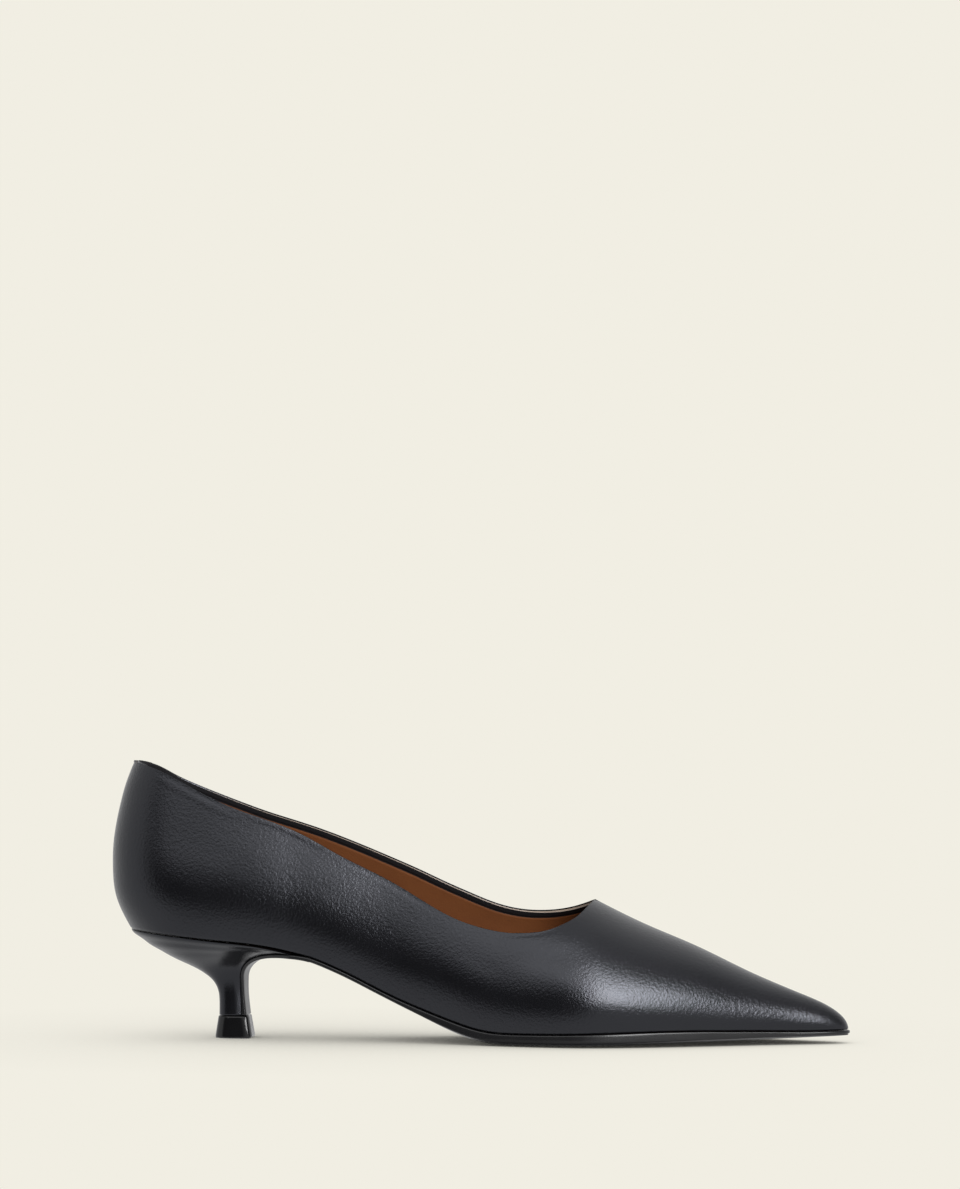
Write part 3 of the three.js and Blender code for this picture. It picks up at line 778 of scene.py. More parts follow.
def quarter_starts(side, count):
    """Starts of the ribs below the rounded topline, as (x, turn), and the way up across the edge."""
    x = THROAT_X * np.sin(np.pi * np.arange(count + 1) / (2 * count)) ** 2
    turn = side * collar_turn(x, side)
    collar = last_point(x, turn)
    along = np.gradient(collar, axis=0)
    along[0] = (0, side, 0)
    along[-1] = (0, -side, 0)
    forward, around = slopes(x, turn)
    down = unit(np.cross(along, last_normal(x, turn))) * side
    down[0, 1] = 0
    down[-1, 1] = 0
    down = unit(down)
    basis = np.stack([forward, around], -1)
    basis[0, :, 0] = 0
    step = np.linalg.pinv(basis) @ down[..., None]
    x_start = np.clip(x + RIM_RADIUS * step[:, 0, 0], 0, None)
    turn_start = turn + RIM_RADIUS * step[:, 1, 0]
    x_start[0] = 0
    x_start[-1] = THROAT_X + RIM_RADIUS
    turn_start[-1] = 0
    return x_start, turn_start, -down, collar


def distance_to_lines(points, lines):
    """Least distance from each point to the points of a dense line."""
    flat = points.reshape(-1, 3)
    best = np.full(len(flat), np.inf)
    chunk = 40
    for start in range(0, len(lines), chunk):
        gap = flat[:, None, :] - lines[None, start:start + chunk, :]
        best = np.minimum(best, np.sqrt((gap ** 2).sum(-1)).min(1))
    return best.reshape(points.shape[:-1])


# Slow swells of lasted leather: their length and rise in mm, and how many cross each other
WAVES = records(
    "length rise",
    (52, 0.03),
    (31, 0.02),
    (19, 0.01),
)
WAVES_OF_EACH = 4
WAVE_SEED = 7


def soft_waves(points):
    """Swell of about a tenth of a millimetre, which makes the highlights uneven."""
    draw = np.random.default_rng(WAVE_SEED)
    waves = np.zeros(points.shape[:-1])
    for wave in WAVES:
        for _ in range(WAVES_OF_EACH):
            way = unit(draw.normal(size=3))
            phase = points @ way * 2 * np.pi / wave["length"] + draw.uniform(0, 2 * np.pi)
            waves += wave["rise"] * np.sin(phase)
    return waves


# Folds and swells of the upper, listed one by one. Rise is in mm and slant in degrees. The rest are shares
# of the shoe's length: the place along it and up from the floor, and the fold's own length and width.
CREASES = records(
    "along high length width rise slant",
    (0.615, 0.120, 0.120, 0.020, -0.22, 8),
    (0.640, 0.085, 0.160, 0.026, 0.20, -18),
    (0.700, 0.068, 0.120, 0.014, 0.10, -20),
    (0.520, 0.110, 0.090, 0.018, -0.10, -30),
    (0.330, 0.215, 0.110, 0.022, 0.10, -24),
    (0.300, 0.170, 0.130, 0.024, -0.10, -16),
    (0.135, 0.200, 0.150, 0.030, 0.10, -4),
    (0.150, 0.255, 0.120, 0.026, -0.08, -20),
)

# How fast a fold fades along its length and across its width
FADE_ALONG = 4
FADE_ACROSS = 2


def hand_creases(points):
    """Rise of the listed folds at points of the upper, on both sides alike."""
    rise = np.zeros(points.shape[:-1])
    for fold in CREASES:
        x = points[..., 0] / SHOE_LENGTH - fold["along"]
        z = points[..., 2] / SHOE_LENGTH - fold["high"]
        turn = math.radians(fold["slant"])
        far = (x * math.cos(turn) + z * math.sin(turn)) / fold["length"]
        wide = (z * math.cos(turn) - x * math.sin(turn)) / fold["width"]
        rise += fold["rise"] * np.exp(-far ** 2 * FADE_ALONG - wide ** 2 * FADE_ACROSS)
    return rise


# The turned edge shows through the leather: its rise and the distances from the topline over which it
# fades, in mm, and the shares of the shoe's length over which it ends
RIDGE_RISE = 0.06
RIDGE_FADE = (2.4, 3.8)
RIDGE_END_AT = (0.1, 0.24)


def topline_ridge(points, gap):
    """Faint raised band below the topline, round the back alone."""
    at = points[..., 0] / SHOE_LENGTH
    return RIDGE_RISE * (1 - ease(*RIDGE_FADE, gap)) * (1 - ease(*RIDGE_END_AT, at))


# Steps of the upper's grid: from the back to the throat, on to the toe, down each rib, over the rim
QUARTER_STEPS = 130
VAMP_STEPS = 76
RIB_STEPS = 80
RIM_STEPS = 16

# Powers that crowd the rows towards the topline, slant them at the throat and end the relief at the foot
RIB_CROWDING = 1.35
SLANT_POWER = 4
FOOT_CALM_POWER = 6

# Distances in mm: from the topline to the start of the relief, from there to its full rise, and from
# the toe to its full rise
RELIEF_START = 0.3
RELIEF_REACH = 1.2
TOE_CALM = 5

# Softness of the turned band's far edge, and where its step begins below the rim, in mm
BAND_SOFTNESS = 0.25
BAND_STEP_START = (0.9, 1.4)


def upper_places(side, x_start, turn_start):
    """Places from the topline or the crest down to the foot, as x and turn, and x along the foot."""
    slant = THROAT_SLANT_AT * SHOE_LENGTH
    k = np.arange(QUARTER_STEPS + 1) / QUARTER_STEPS
    share = np.sin(np.pi * np.arange(1, VAMP_STEPS + 1) / (2 * VAMP_STEPS))
    x_top = np.concatenate([x_start, mix(x_start[-1], SHOE_LENGTH, share)])
    x_foot = np.concatenate([
        THROAT_X * np.sin(np.pi * k / 2) ** 2 + slant * k ** SLANT_POWER,
        mix(THROAT_X + slant, SHOE_LENGTH, share),
    ])
    top = np.concatenate([turn_start, np.zeros(VAMP_STEPS)])
    low = height_turn(x_foot, side, FOOT_ROUND)
    down = np.linspace(0, 1, RIB_STEPS + 1) ** RIB_CROWDING
    return mix(x_top[:, None], x_foot[:, None], down), mix(top[:, None], low[:, None], down), x_foot, down


def leather_face(skin, normal, gap, down):
    """The outer face: the last with its swells, folds and turned edge."""
    folds = (soft_waves(skin) + hand_creases(skin)) * (1 - down ** FOOT_CALM_POWER)
    proud = folds + topline_ridge(skin, gap)
    proud *= ease(0, TOE_CALM, SHOE_LENGTH - skin[..., :1])[..., 0]
    return skin + normal * (proud * ease(0, RELIEF_REACH, gap - RELIEF_START))[..., None]


def lining_face(skin, normal, gap, x_foot, side):
    """The inner face: a wall's thickness in, with the small step of the turned band."""
    step = BAND_STEP * (1 - ease(BAND_WIDTH - BAND_SOFTNESS, BAND_WIDTH + BAND_SOFTNESS, gap))
    depth = WALL - step * ease(*BAND_STEP_START, gap)
    lining = skin - normal * depth[..., None]
    lining[:, -1, :2] = edge_points(x_foot, side, -WALL)
    lining[:, -1, 2] = sole_top(x_foot) + SEAM_GAP
    return lining


def add_rim(work, side, up, outside, lining):
    """Half round over the topline, with the light line along its top: edge paint, partly a painted
    highlight.
    """
    angle = np.linspace(0, np.pi, RIM_STEPS + 1)
    outer = outside[:QUARTER_STEPS + 1, 0]
    inner = lining[:QUARTER_STEPS + 1, 0]
    middle = (outer + inner) / 2
    half = (outer - inner) / 2
    across = half[:, None] * np.cos(angle)[:, None]
    bow = up[:, None] * RIM_RADIUS * np.sin(angle)[:, None]
    edge = middle[:, None] + across + bow
    first, last = RIM_PAINT_AND_HIGHLIGHT
    work.add(edge[:, :first + 1], LEATHER_SLOT, side == OUTER)
    # The top of the rim takes the light line: edge paint, partly a painted highlight
    work.add(edge[:, first:last + 1], PAINT_AND_HIGHLIGHT_SLOT, side == OUTER)
    work.add(edge[:, last:], LEATHER_SLOT, side == OUTER)


def make_upper(leather, inside, paint_and_highlight):
    """Shell of two faces a wall apart, closed over the topline and in under the foot."""
    work = Patchwork()
    starts = {side: quarter_starts(side, QUARTER_STEPS) for side in (INNER, OUTER)}
    lines = np.concatenate([starts[side][3] for side in starts])
    dense = np.concatenate([mix(lines[:-1], lines[1:], s) for s in (0, 0.25, 0.5, 0.75)])
    for side, (x_start, turn_start, up, _) in starts.items():
        x, turn, x_foot, down = upper_places(side, x_start, turn_start)
        skin = last_point(x, turn)
        normal = last_normal(x, turn)
        gap = distance_to_lines(skin, dense)
        outside = leather_face(skin, normal, gap, down)
        lining = lining_face(skin, normal, gap, x_foot, side)
        work.add(outside, LEATHER_SLOT, side == INNER)
        work.add(lining, LINING_SLOT, side == OUTER, value=gap)
        add_rim(work, side, up, outside, lining)
        tuck = tuck_under(x_foot, side, outside[:, -1], lining[:, -1])
        work.add(np.stack(tuck, 1), LEATHER_SLOT, side == INNER)
    return work.build("upper_shell", [leather, inside, paint_and_highlight])


# Rows of the upper's rounded foot: inset from the feather edge and height over the sole, in mm
TUCK = records(
    "inset height",
    (0.03, 0.62),
    (0.12, 0.46),
    (0.3, 0.34),
    (0.55, 0.3),
    (1.2, 0.3),
)


def tuck_under(x, side, outer, inner):
    """The foot of the upper rounds in over the sole, from its outer to its inner edge."""
    rows = [outer]
    for row in TUCK:
        place = edge_points(x, side, -row["inset"])
        rows.append(np.concatenate([place, (sole_top(x) + row["height"])[:, None]], 1))
    rows.append(inner)
    return rows


def height_turn(x, side, height):
    """The turn at which a rib reaches a height above its foot."""
    base = sole_top(x) + SEAM_GAP
    low = np.ones_like(x)
    near_crest = 0.3
    high = np.full_like(x, near_crest)
    for _ in range(HEIGHT_HALVINGS):
        middle = (low + high) / 2
        below = last_point(x, side * middle)[..., 2] - base < height
        low = np.where(below, middle, low)
        high = np.where(below, high, middle)
    return side * high


# Insole

# Steps along and across the insole
INSOLE_STEPS = 150
INSOLE_ACROSS = 30

# Power of the relief at the toe, shares of the shoe's length over which the sock stops following the
# lining, and how fast its edge thins out
TOE_RELIEF_POWER = 8
SOCK_END_AT = (0.86, 0.93)
SOCK_EDGE_FADE = 0.03


def insole_edge(x, side, height):
    """Edge of the insole in plan: on the board's own outline below, out to the lining above."""
    relief = INSOLE_TOE_RELIEF * (x / SHOE_LENGTH) ** TOE_RELIEF_POWER
    board = edge_points(x, side, -(WALL + INSOLE_PLAY))
    turn = height_turn(x, side, INSOLE_THICK)
    lining = (last_point(x, turn) - last_normal(x, turn) * (WALL + SOCK_PLAY))[:, :2]
    roomy = 1 - ease(*SOCK_END_AT, x / SHOE_LENGTH)
    edge = mix(board, lining, (roomy * height)[:, None])
    edge[:, 0] -= relief
    return edge


def make_insole(sock):
    """Board and sock: a soft crown that thins out at its edges."""
    x = SHOE_LENGTH * np.sin(np.pi * np.arange(INSOLE_STEPS + 1) / (2 * INSOLE_STEPS)) ** 2
    share = 0.5 - 0.5 * np.cos(np.pi * np.linspace(0, 1, INSOLE_ACROSS + 1))
    inwards = 1 - np.abs(2 * share - 1)
    base = sole_top(x)[:, None] + SEAM_GAP - dish_depth(x[:, None], inwards)
    crown = INSOLE_THICK - SOCK_EDGE_DROP * np.exp(-inwards / SOCK_EDGE_FADE)
    sheets = []
    for height, z in ((1.0, base + crown), (0.0, base)):
        outer = insole_edge(x, OUTER, height)
        inner = insole_edge(x, INNER, height)
        plan = mix(outer[:, None], inner[:, None], share[:, None])
        sheets.append(np.concatenate([plan, z[..., None]], -1))
    work = Patchwork()
    work.add(np.concatenate([sheets[0], sheets[1][:, ::-1]], 1), 0, wrap=True)
    return work.build("insole_sock", [sock])


# Outsole

# Steps of each curve of the breast, of the flap down it, and of the sole from there to the toe
BREAST_STEPS = 400
FLAP_STEPS = 90
BODY_STEPS = 190
BREAST_NUDGE = 0.01

# The stem's section: share of its line that is round, depth of the flat rest as a share, how much that
# rest tapers, and the power that squares the round
STEM_ROUND_SHARE = 0.75
STEM_FLAT_DEPTH = 0.3
STEM_TAPER = 0.08
STEM_SQUARENESS = 2 / 3

# The sole's section: points of its top and underside, inset of the top's edge, its power and the start
# of the side in mm, places of the side's points, largest rounds as shares of the side's height, reach
# of the underside, and where and how it lifts and draws in
SOLE_TOP_POINTS = 17
SOLE_FOOT_POINTS = 41
SOLE_ROUND_POINTS = 5
SOLE_TOP_INSET = 0.4
SOLE_TOP_POWER = 8
SOLE_SIDE_START = 0.3
SOLE_SIDE_PLACES = (0.3, 0.55)
SOLE_TOP_ROUND_LIMIT = 0.3
SOLE_FOOT_ROUND_LIMIT = 0.5
SOLE_FOOT_REACH = 0.985
SOLE_LIFT_START = 0.6
SOLE_DRAW_POWER = 6

# The flap's ledge and edge lift in mm, and how far behind the tread's start the sole thickens, as shares
FLAP_LEDGE = 0.05
FLAP_EDGE_LIFT = 0.12
TREAD_BLEND_START = 0.18
TREAD_BLEND_END = 0.05


def bezier(a, b, c, d, t):
    t = t[:, None]
    return (1 - t) ** 3 * a + 3 * (1 - t) ** 2 * t * b + 3 * (1 - t) * t ** 2 * c + t ** 3 * d


def breast_line():
    """Line of the sole's top down the breast of the heel, as points with their share of its length."""
    run = BREAST_RUN * HEEL_HEIGHT
    start = np.array([SOLE_SPLIT_X, sole_top(SOLE_SPLIT_X)])
    waist = np.array([SOLE_SPLIT_X - run, sole_top(SOLE_SPLIT_X - run)])
    foot = np.array([STEM_BACK + STEM_DEPTH + SEAM_GAP, HEEL_FOOT])
    hollow = foot[0] - BREAST_HOLLOW
    ankle = np.array([foot[0], BREAST_RISE["ankle"] * HEEL_HEIGHT])
    rises = [BREAST_RISE[name] * HEEL_HEIGHT for name in ("low", "stem", "corner")]
    low, stem, corner = (np.array([hollow, rise]) for rise in rises)
    t = np.linspace(0, 1, BREAST_STEPS)
    lower = bezier(foot, ankle, low, stem, t)
    upper = bezier(stem, corner, waist, start, t)
    points = np.concatenate([lower, upper[1:]])
    length = np.concatenate([[0], np.cumsum(np.linalg.norm(np.diff(points, axis=0), axis=1))])
    return points, length / length[-1]


BREAST_POINTS, BREAST_SHARES = breast_line()
HEEL_TIP_SHARE = float(np.interp(HEEL_TIP_X, BREAST_POINTS[BREAST_STEPS:, 0], BREAST_SHARES[BREAST_STEPS:]))


def breast_frame(share):
    """Points of the breast line and the way up from the sole's top at each."""
    share = np.asarray(share, float)

    def at(s):
        return np.stack([np.interp(s, BREAST_SHARES, BREAST_POINTS[:, i]) for i in (0, 1)], -1)

    forward = unit(at(np.minimum(share + BREAST_NUDGE, 1)) - at(np.maximum(share - BREAST_NUDGE, 0)))
    return at(share), np.stack([-forward[..., 1], forward[..., 0]], -1)


def stem_shape(share):
    """Section of the stem: forward share from back to breast, and half width as a share."""
    angle = np.minimum(share / STEM_ROUND_SHARE, 1) * np.pi / 2
    flat = np.maximum(share - STEM_ROUND_SHARE, 0) / (1 - STEM_ROUND_SHARE)
    bow = 1 - np.maximum(np.cos(angle), 0) ** STEM_SQUARENESS
    forward = (1 - STEM_FLAT_DEPTH) * bow + STEM_FLAT_DEPTH * flat
    return forward, np.sin(angle) ** STEM_SQUARENESS * (1 - STEM_TAPER * flat ** 2)


def heel_reach(level):
    """Spread of the heel at a level, from 0 as the stem to 1 as the seat."""
    return FLARE["reach"](mix(HEEL_FOOT / HEEL_HEIGHT, 1, level))


def breast_half(share, side):
    """Half width of the flap on one side at shares of the breast line."""
    x = np.maximum(breast_frame(share)[0][..., 0], HEEL_TIP_X)
    reach = heel_reach(np.clip(share / HEEL_TIP_SHARE, 0, 1))
    return mix(STEM_HALF_WIDTH * stem_shape(np.array(1.0))[1], feather_half(x, side), reach)


def sole_section(thick, lift, ledge):
    """Closed section of the sole as (across, out, down) rows: across is -1 to 1 between the edges."""
    rows = []
    for across in np.linspace(-1, 1, SOLE_TOP_POINTS):
        rows.append((across, -SOLE_TOP_INSET * abs(across) ** SOLE_TOP_POWER, 0 * thick))
    edge = thick - lift
    turn = np.linspace(0, 1, SOLE_ROUND_POINTS) * np.pi / 2
    side = []
    for angle in turn:
        out = SOLE_TOP_ROUND * (np.sin(angle) - 1) + ledge
        side.append((out, np.minimum(SOLE_TOP_ROUND, edge * SOLE_TOP_ROUND_LIMIT) * (1 - np.cos(angle))))
    for place in SOLE_SIDE_PLACES:
        side.append((ledge + 0 * thick, mix(SOLE_SIDE_START, edge - SOLE_FOOT_ROUND, place)))
    for angle in turn:
        out = ledge - SOLE_FOOT_ROUND * (1 - np.cos(angle))
        fall = np.minimum(SOLE_FOOT_ROUND, edge * SOLE_FOOT_ROUND_LIMIT) * (1 - np.sin(angle))
        side.append((out, edge - fall))
    for out, down in side:
        rows.append((1.0, out, down))
    for across in np.linspace(SOLE_FOOT_REACH, -SOLE_FOOT_REACH, SOLE_FOOT_POINTS):
        far = np.clip((abs(across) - SOLE_LIFT_START) / (1 - SOLE_LIFT_START), 0, 1)
        rows.append((across, -SOLE_FOOT_ROUND * far ** SOLE_DRAW_POWER, thick - lift * far ** 2))
    for out, down in reversed(side):
        rows.append((-1.0, out, down))
    return rows


def sole_rings(left, right, left_way, right_way, z, up, thick, lift, ledge):
    """Rings of points for sections that stand across the sole's line."""
    rings = []
    middle = (left + right) / 2
    for across, out, down in sole_section(thick, lift, ledge):
        toward = right if across > 0 else left
        way = right_way if across > 0 else left_way
        outwards = way * np.asarray(out)[..., None] * (abs(across) > 0)
        place = middle + (toward - middle) * abs(across) + outwards
        down = np.broadcast_to(down, z.shape)
        rings.append(np.stack([place[:, 0] - up[:, 0] * down, place[:, 1], z - up[:, 1] * down], -1))
    return np.stack(rings, 1)


def make_outsole(material):
    """Flap up the breast of the heel, then the sole on to the toe, as one tube of rings."""
    share = np.arange(FLAP_STEPS) / FLAP_STEPS
    point, up = breast_frame(share)
    spread = ease(HEEL_TIP_SHARE, 1, share)
    left = np.stack([point[:, 0], -breast_half(share, OUTER)], -1)
    right = np.stack([point[:, 0], breast_half(share, INNER)], -1)
    out_left = np.tile((0.0, -1.0), (FLAP_STEPS, 1))
    out_right = np.tile((0.0, 1.0), (FLAP_STEPS, 1))
    foot = np.clip(1 - share / FLAP_FOOT_REACH, 0, 1)
    thick = mix(FLAP_THICK, WAIST_THICK, share) + FLAP_FOOT_FLARE * foot ** 2
    lift = FLAP_EDGE_LIFT + 0 * thick
    ledge = mix(FLAP_LEDGE, SOLE_LEDGE, spread)
    first = sole_rings(left, right, out_left, out_right, point[:, 1], up, thick, lift, ledge)
    x = mix(SOLE_SPLIT_X, SHOE_LENGTH, np.sin(np.pi * np.arange(BODY_STEPS + 1) / (2 * BODY_STEPS)))
    left = edge_points(x, OUTER, 0)
    right = edge_points(x, INNER, 0)
    out_left = edge_points(x, OUTER, 1) - left
    out_right = edge_points(x, INNER, 1) - right
    slope = (sole_top(x + NUDGE) - sole_top(x - NUDGE)) / (2 * NUDGE)
    up = unit(np.stack([-slope, np.ones_like(x)], -1))
    up = np.where((x > TREAD_START_AT * SHOE_LENGTH)[:, None], (0.0, 1.0), up)
    tread = ease(TREAD_START_AT - TREAD_BLEND_START, TREAD_START_AT - TREAD_BLEND_END, x / SHOE_LENGTH)
    thick = mix(WAIST_THICK, tread_depth(x), tread)
    lift = mix(WAIST_EDGE_LIFT, TREAD_EDGE_LIFT, tread) * np.minimum(tread_depth(x) / TREAD_THICK, 1)
    ledge = np.full_like(x, SOLE_LEDGE)
    second = sole_rings(left, right, out_left, out_right, sole_top(x), up, thick, lift, ledge)
    rings = np.concatenate([first, second])
    work = Patchwork()
    work.add(rings, 0, wrap=True)
    work.add(end_cap(rings[0]), 0)
    return work.build("outsole_skin", [material])


def end_cap(ring):
    """Grid of two rows that closes the start of a tube of sole rings."""
    half = len(ring) // 2
    return np.stack([ring[:half], ring[::-1][:half]])


# Heel

# Steps up the heel, round each side, in over its seat, and round the seat's edge
HEEL_STEPS = 90
HEEL_SIDE_STEPS = 48
HEEL_SEAT_STEPS = 14
HEEL_ROUND_POINTS = 7

# Share of the seam's gap in front of the heel, and the seat's middle as a share of its length
HEEL_FRONT_GAP = 0.4
HEEL_MIDDLE_AT = 0.45


def heel_side(share, level, side):
    """Points of one side of the heel, from its back, 0, to its breast, 1, at levels from 0 to 1."""
    reach = heel_reach(level)
    seat_x = HEEL_TIP_X * (1 - np.cos(share * np.pi / 2))
    seat_back = lean_at(0.0, 0.0)
    stem_forward, stem_out = stem_shape(share)
    point, up = breast_frame(level * HEEL_TIP_SHARE)
    front = point + up * SEAM_GAP * HEEL_FRONT_GAP
    back_x = mix(STEM_BACK, seat_back, reach)
    back_z = mix(HEEL_FOOT, sole_top(0.0), level)
    forward = (seat_x + lean_at(seat_x, 0.0) - seat_back) / (HEEL_TIP_X - seat_back)
    fall = (sole_top(0.0) - sole_top(seat_x)) / (sole_top(0.0) - sole_top(HEEL_TIP_X))
    return np.stack([
        mix(back_x, front[..., 0], mix(stem_forward, forward, reach)),
        side * mix(STEM_HALF_WIDTH * stem_out, feather_half(seat_x, side), reach),
        mix(back_z, front[..., 1], mix(stem_forward, fall, reach)),
    ], -1)


def make_heel(material):
    """Covered heel with a cupped seat and a rounded edge, as one tube of rings."""
    share = np.linspace(0, 1, HEEL_SIDE_STEPS + 1)
    height = HEEL_HEIGHT - HEEL_FOOT
    turned = 1 - SEAT_ROUND / height * (1 - np.sin(np.linspace(0, 1, HEEL_ROUND_POINTS) * np.pi / 2))
    level = np.concatenate([np.linspace(0, turned[0], HEEL_STEPS)[:-1], turned])[:, None]
    level = np.broadcast_to(level, (len(level), HEEL_SIDE_STEPS + 1))
    share = np.broadcast_to(share, level.shape)
    rings = np.concatenate([heel_side(share, level, INNER), heel_side(share, level, OUTER)[:, ::-1]], 1)
    up = np.clip((level[:, :1] - turned[0]) / (1 - turned[0]), 0, 1)
    inset = SEAT_ROUND * (1 - np.sqrt(1 - up ** 2))
    centre = np.array([HEEL_MIDDLE_AT * HEEL_TIP_X, 0.0])
    rings[..., :2] += unit(centre - rings[..., :2]) * inset[..., None]
    x = HEEL_TIP_X * (1 - np.cos(np.linspace(0, 1, HEEL_SIDE_STEPS + 1) * np.pi / 2))
    lids = []
    for inwards in np.linspace(0, 1, HEEL_SEAT_STEPS + 1)[1:]:
        halves = []
        for side in (INNER, OUTER):
            y = side * feather_half(x, side) * (1 - inwards)
            z = sole_top(x) - dish_depth(x, inwards)
            halves.append(np.stack([x + lean_at(x, 0.0), y, z], -1))
        lids.append(np.concatenate([halves[0], halves[1][::-1]]))
    rings = np.concatenate([rings, np.array(lids)])
    work = Patchwork()
    work.add(rings, 0, wrap=True)
    work.add(end_cap(rings[0]), 0)
    return work.build("heel_cover", [material])


# Top piece

TOP_PIECE_SIDE_STEPS = 30

# Its profile from the floor up: height and inset in mm
TOP_PIECE_PROFILE = records(
    "z inset",
    (0.0, 0.55),
    (0.12, 0.25),
    (0.4, 0.05),
    (0.7, 0.0),
    (3.0, 0.0),
    (6.0, 0.0),
    (7.6, 0.0),
    (7.95, 0.08),
    (8.2, 0.35),
)


def make_top_piece(material):
    """Hard tip under the heel, a little wider at the floor, with rounded edges."""
    share = np.linspace(0, 1, TOP_PIECE_SIDE_STEPS + 1)
    forward, out = stem_shape(share)
    foot_depth = STEM_DEPTH + SEAM_GAP + FLAP_THICK + FLAP_FOOT_FLARE
    rings = []
    for row in TOP_PIECE_PROFILE:
        inset = row["inset"]
        level = row["z"] / TOP_PIECE_HEIGHT
        flare = TOP_PIECE_FLARE * (1 - level)
        rake = TOP_PIECE_LIP + TOP_PIECE_RAKE * (1 - level)
        back = STEM_BACK - rake + inset
        depth = foot_depth + 2 * rake - TOP_PIECE_LIP - 2 * inset
        x = back + depth * forward
        y = out * (STEM_HALF_WIDTH + flare - inset)
        z = np.full_like(x, row["z"])
        rings.append(np.concatenate([np.stack([x, y, z], -1), np.stack([x, -y, z], -1)[::-1]]))
    rings = np.array(rings)
    work = Patchwork()
    work.add(rings, 0, wrap=True)
    work.add(end_cap(rings[0]), 0)
    work.add(end_cap(rings[-1]), 0, turned=True)
    return work.build("top_piece_tip", [material])


# Stage, lights and camera

# Tone of the floor, and of its shade where nothing is open above it
PALE = (0.879, 0.855, 0.768)
SHADE = (0.02, 0.02, 0.018)

# How far above the floor things still shade it, in metres, and the power that gathers the shade in
SHADE_REACH = 0.14
SHADE_POWER = 1.6
SHADE_SAMPLES = 5
FLOOR_HALF = 6.0


def pale_floor():
    """Even pale tone that the floor gives off itself, darker only where something stands close over it."""
    material, tree, shader = new_material("pale_floor")
    shader.inputs["Base Color"].default_value = (0, 0, 0, 1)
    shader.inputs["Roughness"].default_value = 1.0
    shader.inputs["Specular IOR Level"].default_value = 0.0
    open_air = place_node(tree, "ShaderNodeAmbientOcclusion", Distance=SHADE_REACH, samples=SHADE_SAMPLES)
    shut = map_range(tree, open_air.outputs["AO"], 0.0, 1.0, 1.0, 0.0)
    power = place_node(tree, "ShaderNodeMath", operation="POWER")
    tree.links.new(shut, power.inputs[0])
    power.inputs[1].default_value = SHADE_POWER
    tree.links.new(blend_colours(tree, power.outputs[0], PALE, SHADE), shader.inputs["Emission Color"])
    shader.inputs["Emission Strength"].default_value = 1.0
    return material


def make_stage():
    """Wide flat floor, which neither lights the shoe nor shows in its reflections."""
    half = FLOOR_HALF
    vertices = [(-half, -half, 0), (half, -half, 0), (half, half, 0), (-half, half, 0)]
    mesh = bpy.data.meshes.new("floor")
    mesh.from_pydata(vertices, [], [(0, 1, 2, 3)])
    mesh.materials.append(pale_floor())
    floor = bpy.data.objects.new("floor", mesh)
    bpy.context.scene.collection.objects.link(floor)
    floor.visible_diffuse = False
    floor.visible_glossy = False
    floor.visible_shadow = False


# Softboxes round the shoe. Angles are in degrees, bearing from the camera's side towards the toe.
# Distance, width and height are in metres.
SOFTBOXES = records(
    "name bearing height_angle tilt distance width height brightness",
    ("key", 31, 27, -26, 1.6, 0.56, 1.4, 10.5),
    ("above_front", -8, 45, 20, 1.7, 2.2, 1.2, 0.95),
)

# The room that the leather reflects: soft round patches over one even tone. Full and gone are the
# angles from a patch's middle at which it is full and gone.
ROOM_TONE = 0.66
ROOM_PATCHES = records(
    "bearing height_angle full gone tone",
    (-22, 5, 25, 38, 0.04),
    (92, 38, 15, 33, 0.30),
)
SHOE_MIDDLE = Vector((0.0, 0.0, 0.04))


def direction(bearing, height_angle):
    """Unit vector from the shoe towards a place in the room."""
    bearing = math.radians(bearing)
    height_angle = math.radians(height_angle)
    return Vector((
        math.sin(bearing) * math.cos(height_angle),
        -math.cos(bearing) * math.cos(height_angle),
        math.sin(height_angle),
    ))


def add_softbox(name, bearing, height_angle, tilt, distance, width, height, brightness):
    """Rectangular light that faces the shoe. Its power follows from its area and brightness."""
    way = direction(bearing, height_angle)
    light = bpy.data.lights.new(name, "AREA")
    light.shape = "RECTANGLE"
    light.size = width
    light.size_y = height
    light.energy = brightness * math.pi * width * height
    lamp = bpy.data.objects.new(name, light)
    lamp.location = SHOE_MIDDLE + way * distance
    roll = Quaternion((0, 0, 1), math.radians(tilt))
    lamp.rotation_euler = ((-way).to_track_quat("-Z", "Y") @ roll).to_euler()
    lamp.visible_camera = False
    bpy.context.scene.collection.objects.link(lamp)


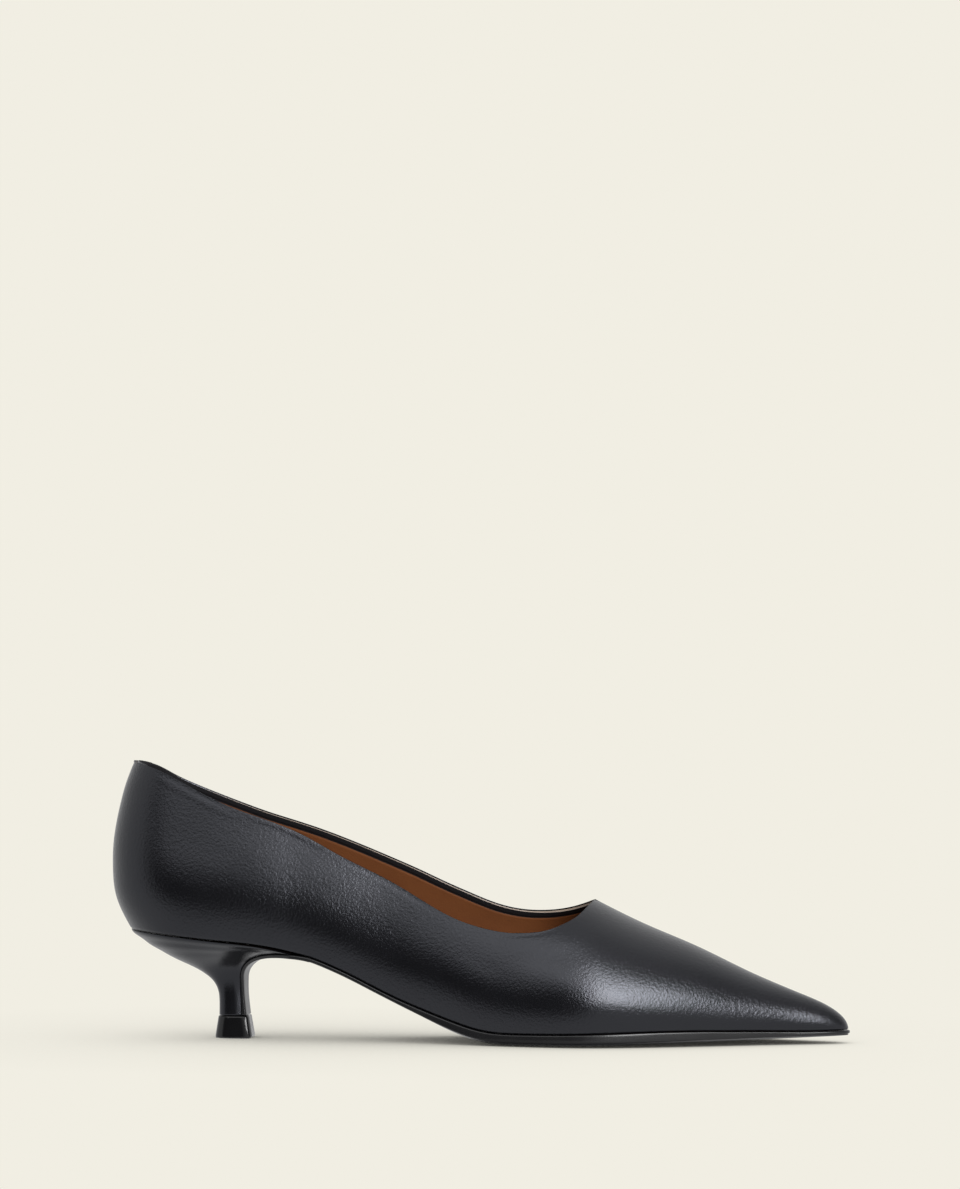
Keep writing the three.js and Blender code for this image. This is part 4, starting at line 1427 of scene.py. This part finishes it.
def make_room():
    """Toned room for the leather to reflect. The camera itself sees the floor's pale tone beyond it."""
    world = bpy.data.worlds.new("room")
    world.use_nodes = True
    bpy.context.scene.world = world
    tree = world.node_tree
    looking = coordinates(tree, "Generated")
    tone = (ROOM_TONE,) * 3
    for patch in ROOM_PATCHES:
        dot = place_node(tree, "ShaderNodeVectorMath", operation="DOT_PRODUCT")
        tree.links.new(looking, dot.inputs[0])
        dot.inputs[1].default_value = direction(patch["bearing"], patch["height_angle"])
        gone = math.cos(math.radians(patch["gone"]))
        full = math.cos(math.radians(patch["full"]))
        share = map_range(tree, dot.outputs["Value"], gone, full)
        tone = blend_colours(tree, share, tone, (patch["tone"],) * 3)
    seen = place_node(tree, "ShaderNodeLightPath").outputs["Is Camera Ray"]
    tone = blend_colours(tree, seen, tone, PALE)
    tree.links.new(tone, tree.nodes["Background"].inputs["Color"])


def make_lights():
    make_room()
    for softbox in SOFTBOXES:
        add_softbox(**softbox)


# Width of the photograph and its scale at the shoe, in pixels and pixels for each mm
PHOTO_WIDTH = 960
SCALE_PX_MM = 2.739

# Place of the camera in mm, in the last's frame, and the range that it sees in metres
SENSOR_WIDTH = 36
CLIP_START = 0.05
CLIP_END = 20
CAMERA_DISTANCE = 2050.0
CAMERA_AZIMUTH = math.radians(7)
CAMERA_TARGET_X = 135.6
CAMERA_HEIGHT = 162.45


def make_camera():
    """Level camera at the photograph's angle: it looks across the shoe, a little towards the heel."""
    camera = bpy.data.cameras.new("camera")
    camera.sensor_fit = "HORIZONTAL"
    camera.sensor_width = SENSOR_WIDTH
    camera.lens = SENSOR_WIDTH * SCALE_PX_MM * CAMERA_DISTANCE / PHOTO_WIDTH
    camera.clip_start = CLIP_START
    camera.clip_end = CLIP_END
    eye = bpy.data.objects.new("camera", camera)
    spot = (
        CAMERA_TARGET_X + CAMERA_DISTANCE * math.sin(CAMERA_AZIMUTH),
        -CAMERA_DISTANCE * math.cos(CAMERA_AZIMUTH),
        CAMERA_HEIGHT,
    )
    eye.location = Vector(to_frame(spot))
    eye.rotation_euler = (math.pi / 2, 0, CAMERA_AZIMUTH)
    bpy.context.scene.collection.objects.link(eye)
    bpy.context.scene.camera = eye


make_camera()
make_stage()
make_lights()
bpy.context.scene.view_settings.view_transform = "Standard"

LEATHER = black_leather("black_leather", 1.0, 0.12, 0.18, 0.25)
HEEL_LEATHER = black_leather("heel_cover_leather", 0.6, 0.05, 0.2, 0.26)
LINING = tan_lining()
dress(make_upper(LEATHER, inside_leather(LINING), edge_paint_and_highlight()), "upper")
dress(make_insole(LINING), "insole")
dress(make_outsole(sole_black()), "outsole")
dress(make_heel(HEEL_LEATHER), "heel")
dress(make_top_piece(hard_black()), "top_piece")
